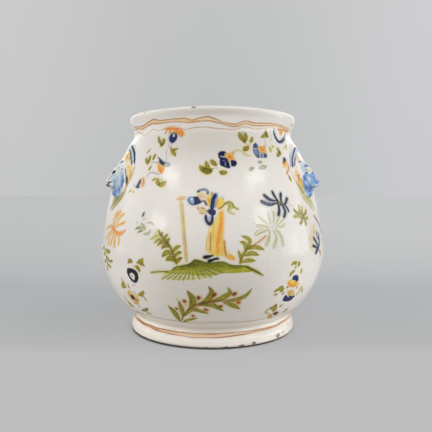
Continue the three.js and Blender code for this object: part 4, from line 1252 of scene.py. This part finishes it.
# name, across, up, half width, half height, rise; all in millimetres and the same on both sides
maskFeatures = [
    ("brow", 6.6, 2.8, 4.2, 1.7, 1.5), ("eye socket", 6.8, -2.0, 3.2, 2.4, -2.9),
    ("eyeball", 6.6, -2.2, 1.9, 1.5, 2.2), ("upper lid", 6.6, -0.5, 2.4, 0.55, 0.7),
    ("lower lid", 6.6, -3.9, 2.3, 0.55, 0.7), ("cheek", 9.6, -9.5, 4.4, 4.6, 3.0),
    ("bridge", 0, -2.5, 2.2, 6.0, 1.2), ("nose tip", 0, -9.5, 3.2, 2.4, 1.4),
    ("nostril wing", 3.3, -10.6, 1.6, 1.5, 1.2), ("nostril", 2.5, -12.4, 0.9, 0.8, -1.7),
    ("whisker pad", 4.8, -15.2, 3.0, 2.2, 1.8), ("lip cleft", 0, -15, 0.7, 2.2, -1.0),
    ("lower lip", 0, -20.6, 5.5, 1.0, 0.9), ("chin tuft", 1.8, -25, 1.2, 2.6, 0.9),
    ("furrow", 1.7, 7.5, 0.9, 3.2, 0.7), ("frown", 0, 5.5, 0.6, 3.2, -0.9),
    ("curl", 8.4, 9.2, 2.5, 2.3, 1.5), ("ear", 12.6, 13.5, 3.0, 3.8, 1.2),
    ("ear hollow", 12.9, 13.2, 1.5, 2.2, -1.0), ("forelock", 4.2, 17.5, 2.2, 3.6, 0.8),
    ("jowl", 12.5, -17, 2.4, 3.8, 1.6), ("temple lock", 13.8, 2.5, 1.9, 4.2, 1.2),
]
# The masks' colours, read where the photograph shows the left mask (column, row) and then turned to each
# place. The near half is read, and the far half is painted to match it.
# a pale wash of sky over the near half, the same on both
paleSky = ("sky wash", (0, 0.14, 121.5, 163, 117, 166.5, 112, 171, 106.5, 180, 106.5, 187, 112, 189,
    111.5, 197, 114, 198.5, 118, 196, 121.5, 190, 123.5, 184, 124.3, 176, 124.8, 169, 124, 164.5))
maskTouches = {
    "left": [
        paleSky,
        ("sky wash", (0, 0.45, 113, 174, 118, 172, 124, 171, 123.8, 180, 122.4, 188.6, 118.4, 196, 114, 198,
             111.6, 196, 112.6, 189.4, 113.4, 184, 111, 180)),
        ("aqua leaf", (5, 0.65, 115.6, 176, 116.8, 184)),
        ("bright leaf", (3.4, 0.81, 122, 173, 122.4, 180, 121, 188)),
        ("blue leaf", (1.6, 0.65, 123, 176, 123, 181, 122, 186)),
        ("bright leaf", (3.6, 0.43, 117.6, 177, 119, 184, 117.6, 191),
            (2.4, 0.43, 113.6, 178, 114.8, 184, 114, 190)),
        # white touches on the face, where the relief shines: painted highlights
        ("bare leaf", (2.6, 0.5, 116.4, 172.4, 119.6, 173.6), (1.6, 0.5, 120, 180, 119.4, 187)),
        ("ink leaf", (2.6, 1.84, 112.2, 173.8, 114, 172, 115.8, 170.2)),
        ("ink dot", (1.5, 0.86, 122, 169.2)), ("greyBlue leaf", (1.6, 0.54, 116.6, 168.4, 120, 167)),
        ("ink line", (1.7, 1.51, 111.4, 182, 109, 182.8, 108.2, 184.8, 109.6, 186.4)),
        ("greyBlue line", (1.1, 0.86, 108, 181, 110.6, 177, 112.6, 174.6)),
        ("umber line", (1.0, 1.08, 125.2, 168, 125.8, 175)),
        ("umber leaf", (2.7, 1.94, 126.2, 175, 126.9, 180, 126.2, 185)),
        ("bright leaf", (3, 0.97, 116.2, 188.5, 114.6, 197), (2.4, 0.86, 120, 187, 118, 194.6)),
        ("blue leaf", (1.3, 0.97, 114, 189, 113, 196.6)), ("navy dot", (2.0, 0.86, 122.2, 161.4)),
        ("blue leaf", (3.0, 0.54, 119.6, 162.6, 124, 160.8)),
        ("yellow wash",
            (0, 0.92, 129.6, 152, 127, 153.6, 125, 157, 124.4, 160.4, 127, 161, 130, 160.6, 130.4, 156)),
        ("ochre leaf", (1.3, 0.86, 129, 153.4, 127.2, 157, 126.2, 160.4), (1.3, 0.86, 130, 156, 129, 160)),
        ("yellow wash", (0, 0.3, 125, 161.4, 130.8, 161, 130.4, 166, 125.6, 167)),
        ("sky line", (2.6, 0.65, 130.6, 147.8, 132.3, 152, 133.2, 157, 133.2, 162)),
        ("navy line", (2.3, 1.4, 131.2, 145.2, 132.8, 148, 134, 151.5, 134.8, 156, 135, 160, 134.6, 163.6)),
        ("midnight line", (1.5, 1.3, 129.3, 149.5, 130.4, 152.5, 131, 157, 131.6, 162, 131.8, 165)),
        ("amber wash", (0, 0.67, 127.2, 166, 131, 166, 133.6, 168, 134, 172, 132, 178, 129, 184, 125.6, 190,
             124.2, 190.4, 125.4, 186, 127.6, 179, 127.2, 172)),
        ("ochre leaf", (2.4, 0.59, 130, 168, 131, 173, 129.6, 179), (2.0, 0.76, 128, 181, 125.8, 188)),
        ("olive line", (2.2, 0.45, 134.6, 166.5, 135.2, 171.5, 133.6, 177.5, 130.6, 183, 127, 189.4)),
        ("greyBlue dot", (1.6, 0.54, 134, 170)),
    ],
    "right": [
        paleSky,
        ("sky wash", (0, 0.44, 116.6, 161.5, 121.6, 160, 125, 162.4, 123.4, 169, 120.4, 173, 117, 170)),
        ("blue leaf", (2.4, 0.53, 116.8, 164.4, 121.4, 167)), ("navy dot", (2.2, 0.88, 118.5, 165.7)),
        ("yellow dot", (3.8, 0.62, 115, 170)), ("ochre leaf", (1.0, 0.62, 115.8, 168.6, 115.2, 171.6)),
        ("navy leaf", (1.8, 0.97, 117.2, 171.8, 119.4, 173.4)), ("navy dot", (1.8, 0.88, 112.5, 172.4)),
        ("bright wash", (0, 0.84, 119.6, 173, 122.2, 177, 121.4, 186, 119, 192, 115, 197.6, 112.2, 197,
             112, 189, 107.4, 187, 106.4, 180.5, 109.6, 175, 112.4, 172.8, 114.6, 174.4)),
        # white touches on the face, where the relief shines: painted highlights
        ("bare leaf", (2.2, 0.8, 117.4, 176, 115.6, 179.4, 114.4, 183)),
        ("bare line", (1.5, 0.85, 113, 184.6, 110, 185.6, 107.4, 184.6)),
        ("aqua leaf", (2.4, 0.88, 114.8, 184.6, 113.4, 191)),
        ("bare leaf", (1.2, 0.7, 109.6, 176.6, 108.6, 180.4), (1.0, 0.6, 119.8, 180, 118.2, 188)),
        ("navy leaf", (1.6, 0.53, 120.6, 175.4, 119.6, 182), (1.6, 0.48, 119.4, 184, 117, 190.6),
            (1.3, 0.44, 111.4, 176, 109.6, 181.4)),
        ("blue leaf", (1.6, 0.88, 116.6, 187, 113.6, 196), (1.4, 0.79, 112.4, 189, 111.6, 197)),
        ("peach wash", (0, 0.7, 128.5, 155.5, 126, 157, 125, 161, 127.5, 163)),
        ("rust leaf", (1.4, 0.31, 127.6, 156.6, 126.4, 160.6)), ("umber dot", (2.2, 0.88, 125, 161.6)),
        ("sky line", (2.2, 0.62, 128.3, 148.4, 128.8, 153.6, 129.5, 158),
            (3.2, 0.55, 131.4, 149.4, 133.2, 154, 133.8, 160, 133.6, 166)),
        ("navy line", (1.9, 1.05, 129.5, 146.8, 130.8, 151, 132.2, 157, 132.4, 162, 132.2, 167.4)),
        ("midnight dot", (2.4, 0.7, 129.8, 148)), ("navy line", (1.3, 0.79, 129.6, 157, 130.4, 166)),
        ("flesh wash", (0, 0.26, 127, 167, 131, 167, 131, 176, 128, 176)),
        ("amber wash", (0, 0.66, 129.4, 169.6, 126, 172.6, 123, 184, 121.2, 190.4, 124, 188.6, 127.8, 181.4,
             130, 175)), ("orange leaf", (3.2, 0.53, 124.8, 177, 123.2, 186)),
        ("brown leaf", (1.8, 0.79, 126.6, 174.4, 126, 181)),
        ("olive line", (2.4, 0.48, 128, 181.5, 124.4, 187.5, 120.5, 193)),
    ],
}


# how far a mask reaches from its middle, by the angle from level
def maskReach(angle, form):
    across, up = smoothLine(*np.array(form["outline"], float).T, 0.5)
    across = np.maximum(across, 0)
    order = np.argsort(np.arctan2(up, across))
    lean = np.arctan2(np.sin(angle), np.abs(np.cos(angle)))
    return np.interp(lean, np.arctan2(up, across)[order], np.hypot(across, up)[order])


def bell(t):
    return np.exp(-t ** 2)


# how far a mask stands off the wall. rim: 0 at its middle and 1 at its edge
def maskRelief(across, up, rim, angle, reach, form):
    side = np.abs(across)
    stand = smoothCurve(*np.array(form["profile"]).T, up)
    (forehead, upTo), (muzzle, muzzleAt, muzzleTall) = form["foreheadIn"], form["muzzleIn"]
    half = form["faceHalf"] - forehead * (up / upTo) ** 2 - muzzle * bell((up - muzzleAt) / muzzleTall)
    face = (stand - form["edge"]) * np.exp(-np.abs(side / half) ** form["faceSquare"])
    low = 1 - form["flatTop"] * np.clip((up - 1) / 7, 0, 1)      # the locks lie flat over the forehead
    maneRise, maneAt, maneWide = form["mane"]
    mane = maneRise * low * bell((rim - maneAt) / maneWide)
    melts = form["melts"]
    off = melts * np.logaddexp(face / melts, mane / melts) - melts * math.log(2) * bell((face - mane) / 4)
    lock = np.abs(np.sin((form["locks"] * angle + form["swirl"] * np.sin(2 * angle) * rim) / 2)) ** 0.7 - 0.6
    beltAt, beltWide = form["lockBelt"]
    off = off + form["lockDepth"] * lock * np.clip(1 - np.abs(rim - beltAt) / beltWide, 0, 1) * low
    for _, a, u, wide, tall, rise in maskFeatures:
        off = off + rise * np.exp(-((side - a) / wide) ** 2 - ((up - u) / tall) ** 2)
    mouthUp, curve, deep, slit = form["mouth"]
    mouth = bell((up - mouthUp - curve * side ** 2) / slit)
    off = off - deep * mouth * np.clip(1.3 - side / form["mouthHalf"], 0, 1)
    inward = (1 - rim) * reach - form["crestWidth"] / 2      # from the middle of the ribbon along the top
    ribbon = np.clip((form["crestWidth"] / 2 - np.abs(inward)) / 1.4, 0, 1) * np.clip((up - 5) / 5, 0, 1)
    ribbon = eased(ribbon)
    ribs, ribsApart = form["crestRibs"]
    crest = form["crest"] + form["crestTop"] * np.clip((up - 18) / 6, 0, 1)
    crest = crest - ribs * np.cos(inward * ribsApart)
    off = off * (1 - 0.75 * ribbon) + ribbon * crest
    edge = form["lutedEdge"] + (form["edge"] - form["lutedEdge"]) * np.sqrt(np.clip((1 - rim) / 0.05, 0, 1))
    return edge + np.clip(1 - rim ** 9, 0, 1) * np.maximum(off, 0)


def smoothCurve(x, y, at):
    slopes = np.gradient(y, x)
    k = np.clip(np.searchsorted(x, at) - 1, 0, len(x) - 2)
    h = x[k + 1] - x[k]
    t = np.clip((at - x[k]) / h, 0, 1)
    return ((2 * t ** 3 - 3 * t ** 2 + 1) * y[k] + (t ** 3 - 2 * t ** 2 + t) * h * slopes[k]
            + (3 * t ** 2 - 2 * t ** 3) * y[k + 1] + (t ** 3 - t ** 2) * h * slopes[k + 1])


def lionMask(name, replaced, turnTo, groups, form=maskForm):
    rings, backRings, spokes = form["rings"], form["backRings"], form["spokes"]
    angle = np.linspace(0, 2 * math.pi, spokes, endpoint=False)
    reach = maskReach(angle, form) * (1 - form["scallop"] * (0.5 + 0.5 * np.cos(form["locks"] * angle)))

    # across, up, share of the way to the edge, and angle
    def disc(count):
        share = np.broadcast_to((np.arange(1, count + 1) / count)[:, None], (count, spokes))
        angles = np.broadcast_to(angle, (count, spokes))
        flat = (share * np.cos(angle) * reach, share * np.sin(angle) * reach, share, angles)
        return [np.r_[0, values.ravel()] for values in flat]

    def onWall(a, u, off, turnTo=turnTo):
        z = maskMiddle + u
        turns = math.radians(turnTo) + a / radiusAt(z)
        r, z = handThrown(radiusAt(z) + form["gap"] + off, z, turns, 1)
        return aroundAxis(r, z, turns, 1)

    a, u, rim, angles = disc(rings)
    relief = maskRelief(a, u, rim, angles, np.r_[reach[0], np.tile(reach, rings)], form)
    backA, backU, backRim, _ = disc(backRings)
    place = np.vstack([onWall(a, u, relief), onWall(backA, backU, form["sunk"])])
    colours = np.ones((len(place), 3))
    grainRow = (u / pot["grain"] + 120 + turnTo).astype(int)
    grain = granular[np.clip(grainRow, 0, nRows - 1), ((a / pot["grain"]).astype(int) + turnTo) % nCols]
    columns, rowsSeen = seenAt(*(onWall(np.abs(a), u, relief, maskTurns["maskLeft"]) / mm).T)
    for pigment, brush, width, load, points in eachTouch(groups):
        x, y = np.array(points, float).reshape(-1, 2).T
        if brush != "wash":
            x, y = smoothLine(x, y, 0.8)
        touch(columns, rowsSeen, colours[:len(a)], grain, pigment, brush, width, load * form["paintLoad"],
              x, y, form["paintSoft"])

    k = np.arange(spokes)
    after = (k + 1) % spokes

    def fill(start, count, outward):
        middle = np.stack([np.full(spokes, start), start + 1 + k, start + 1 + after], 1)
        ring = np.arange(count - 1)[:, None] * spokes + start + 1
        quads = np.stack([ring + k, ring + spokes + k, ring + spokes + after, ring + after], 2).reshape(-1, 4)
        return (middle, quads) if outward else (middle[:, ::-1], quads[:, ::-1])

    frontEdge, backEdge = (rings - 1) * spokes + 1 + k, len(a) + (backRings - 1) * spokes + 1 + k
    side = np.stack([frontEdge, backEdge, backEdge[after], frontEdge[after]], 1)
    faces = [*fill(0, rings, True), *fill(len(a), backRings, False), side]
    sheets = (mapping["maskFront"], a, u), (mapping["maskBack"], backA, backU)
    flat = [np.array(middle) + np.stack([across, up], 1) / size for (middle, size), across, up in sheets]
    uv = [np.vstack(flat)[group].reshape(-1, 2) for group in faces[:4]]
    low, high, start, tall = mapping["maskEdge"]
    low, high = np.full(spokes, low), np.full(spokes, high)
    up0, up1 = start + tall * k / spokes, start + tall * (k + 1) / spokes
    uv.append(np.stack([low, up0, high, up0, high, up1, low, up1], 1).reshape(-1, 2))
    clay = np.r_[np.zeros(len(a)), backRim < 0.99]
    piece = meshFrom(name, place, faces, colours, clay, uv, 60)
    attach(piece, "root")
    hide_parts(replaced)


for name, replaced, side in (("maskRight", "mask_right", "right"), ("maskBack", "mask_back", "left"),
                             ("maskLeft", "mask_left", "left")):
    lionMask(name, replaced, maskTurns[name], maskTouches[side])
print("pieces: three masks")

# Light. Azimuth from the front and elevation in degrees, width, height and distance in metres,
# brightness and colour
lamps = {
    "windowLeft": (-49, 33.6, 0.4, 0.15, 1.3, 7.4, (1, 0.99, 0.97)),
    "glowLeft": (-54.5, 14, 0.36, 0.11, 1.3, 6.6, (1, 0.985, 0.965)),
    "glowRight": (51, 32, 0.5, 0.17, 1.3, 5.4, (0.97, 0.98, 1)),
    "glowRightLow": (50, 17, 0.34, 0.12, 1.3, 7.1, (0.97, 0.98, 1)),
    "lowGlowRight": (84, 3, 0.26, 0.2, 1.3, 2.2, (0.97, 0.98, 1)),
    "sideLeft": (-88, 6, 1.0, 0.7, 1.5, 1.12, (1, 0.985, 0.96)),
    "sideRight": (88, 2, 1.0, 0.7, 1.5, 2.3, (0.98, 0.985, 1)),
}
aimHeight = 0.13
for name, (azimuth, elevation, wide, tall, distance, brightness, colour) in lamps.items():
    lamp = bpy.data.lights.new(name, "AREA")
    lamp.shape, lamp.size, lamp.size_y, lamp.color = "RECTANGLE", wide, tall, colour
    lamp.energy = brightness * math.pi * wide * tall
    item = bpy.data.objects.new(name, lamp)
    a, e = math.radians(azimuth), math.radians(elevation)
    level = distance * math.cos(e)
    item.location = (level * math.sin(a), -level * math.cos(a), aimHeight + distance * math.sin(e))
    item.rotation_euler = (math.radians(90) - e, 0, a)
    bpy.context.collection.objects.link(item)

backdrop = {
    "paper": ((0, (198, 199, 200)), (0.35, (203, 203, 204))),      # upward heading, and the colour seen there
    # how the wall's tone goes from left to right: sideways heading, and the share of light there
    "wall": ((-0.45, (1, 1, 1)), (-0.37, (1, 1, 1)), (-0.28, (0.975, 0.975, 0.975)),
             (-0.12, (0.91, 0.915, 0.91)), (0, (0.9, 0.91, 0.9)), (0.12, (0.92, 0.93, 0.93)),
             (0.28, (0.995, 1, 1)), (0.37, (1.04, 1.035, 1.065)), (0.45, (1.05, 1.045, 1.08))),
    # the light that falls from the room: upward heading and brightness
    "room": ((-1, 0.5), (0, 0.68), (0.15, 1.02), (0.34, 1.75), (0.57, 0.73), (0.77, 0.45)),
    "roomTint": (1, 0.995, 0.985), "overhead": (1, 1, 1),
    # depth behind the pot in metres, and the floor's colour there, with a painted falloff of light: darkest
    # from just in front of the pot to behind it, lighter far behind
    "floor": ((-0.30, (188, 189, 188)), (-0.18, (190, 190, 190)), (-0.115, (189, 190, 190)),
              (-0.08, (182, 183, 183)), (-0.04, (181, 182, 183)), (0.10, (180, 181, 183)),
              (0.2, (180, 181, 183)), (0.35, (188, 189, 191)), (0.6, (193, 194, 195)),
              (1.2, (197, 198, 199)), (2.4, (198, 199, 200))),
    "floorSize": 14,
    # painted falloff of light across the floor, darker to the left and lighter to the right
    "floorPaintedFalloff": (-0.045, 0.03),      # its tone to the left and the right, half a metre out behind the pot
    # a painted shadow on the floor to the left of the foot: middle, from and how far it reaches, and how dark
    # it is
    "paintedShadowLeft": ((-0.15, 0.04, 0), 0.02, 0.16, 0.06),
    # a painted contact shadow, a dark line on the floor where the foot meets it: middle, from and to, and its
    # tone
    "paintedContactShadow": ((-0.0008, -0.0072, 0), 0.0908, 0.0936, 0.14),
    "shadow": 0.16,      # how much of the floor takes real light and shadow
    "contact": (0.094, 0.104, 0.9),     # from and to this far from the axis it rises to this at the foot
}

world = bpy.data.worlds.new("studio")
bpy.context.scene.world = world
world.use_nodes = True
world.node_tree.nodes.clear()
add, links = nodeMaker(world)
heading = add("SeparateXYZ", {"Vector": add("TexCoord").outputs["Generated"]}).outputs
seen = colourRamp(add, heading["Z"], [(rise, toLinear(rgb)) for rise, rgb in backdrop["paper"]])
seen = colourMix(add, 1.0, seen, colourRamp(add, heading["X"], backdrop["wall"]), "MULTIPLY")
stops = [(rise, level * np.array(backdrop["roomTint"])) for rise, level in backdrop["room"]]
room = colourRamp(add, heading["Z"], [*stops, (1, backdrop["overhead"])])
room, seen = (add("Background", {"Color": colour}).outputs[0] for colour in (room, seen))
mixed = add("MixShader", {0: add("LightPath").outputs["Is Camera Ray"], 1: room, 2: seen})
links.new(mixed.outputs[0], add("OutputWorld").inputs["Surface"])

size = backdrop["floorSize"]
floorMesh = bpy.data.meshes.new("floor")
corners = [(-size, -size, 0), (size, -size, 0), (size, size, 0), (-size, size, 0)]
floorMesh.from_pydata(corners, [], [(0, 1, 2, 3)])
floor = bpy.data.objects.new("floor", floorMesh)
bpy.context.collection.objects.link(floor)
floorPaint = bpy.data.materials.new("floorPaint")
floorPaint.use_nodes = True
floorPaint.node_tree.nodes.clear()
add, links = nodeMaker(floorPaint)
spot = add("TexCoord").outputs["Object"]
across, depth, _ = add("SeparateXYZ", {"Vector": spot}).outputs


def farFrom(middle):
    return add("VectorMath", {0: spot, 1: middle}, operation="DISTANCE").outputs["Value"]


# the floor's colour by depth, with its painted falloff of light
tone = colourRamp(add, depth, [(place, toLinear(rgb)) for place, rgb in backdrop["floor"]])
# painted shadow on the floor to the left of the foot
middle, shadowFrom, shadowTo, dark = backdrop["paintedShadowLeft"]
patch = mapped(add, farFrom(middle), shadowFrom, shadowTo, 1 - dark, 1, interpolation_type="SMOOTHSTEP")
# painted contact shadow round the foot
middle, lineFrom, lineTo, lineTone = backdrop["paintedContactShadow"]
contactShadowLine = mapped(add, farFrom(middle), lineFrom, lineTo, lineTone, 1)
# painted falloff of light: the floor darker to the left and lighter to the right, behind the pot
lean = product(add, mapped(add, across, -0.5, 0.5, *backdrop["floorPaintedFalloff"]), mapped(add, depth, 0.0, 0.15))
lean = add("Math", {0: lean, 1: 1.0}, operation="ADD").outputs["Value"]
# the floor's tone, darkened by the painted shadows and the painted falloff of light
tone = toned(add, tone, product(add, product(add, patch, contactShadowLine), lean))
lit = add("BsdfDiffuse", {"Color": tone}).outputs[0]
glow = add("Emission", {"Color": tone}).outputs[0]
atFoot, clear, most = backdrop["contact"]
painted = mapped(add, farFrom((0, 0, 0)), atFoot, clear, 1 - most, 1 - backdrop["shadow"],
                 interpolation_type="SMOOTHSTEP")
share = product(add, add("LightPath").outputs["Is Camera Ray"], painted)
links.new(add("MixShader", {0: share, 1: lit, 2: glow}).outputs[0], add("OutputMaterial").inputs["Surface"])
floorMesh.materials.append(floorPaint)
print("studio: lamps, backdrop and floor")

camera = bpy.data.cameras.new("camera")
camera.sensor_width = 36
camera.lens = view["focal"] / view["frame"] * camera.sensor_width
camera.shift_x = (view["middle"] - view["axisColumn"]) / view["frame"]
eye = bpy.data.objects.new("camera", camera)
eye.location = (0, -view["distance"] * mm, view["height"] * mm)
eye.rotation_euler = (math.radians(90 - view["down"]), 0, 0)
bpy.context.collection.objects.link(eye)
bpy.context.scene.camera = eye
bpy.context.scene.view_settings.view_transform = "Standard"
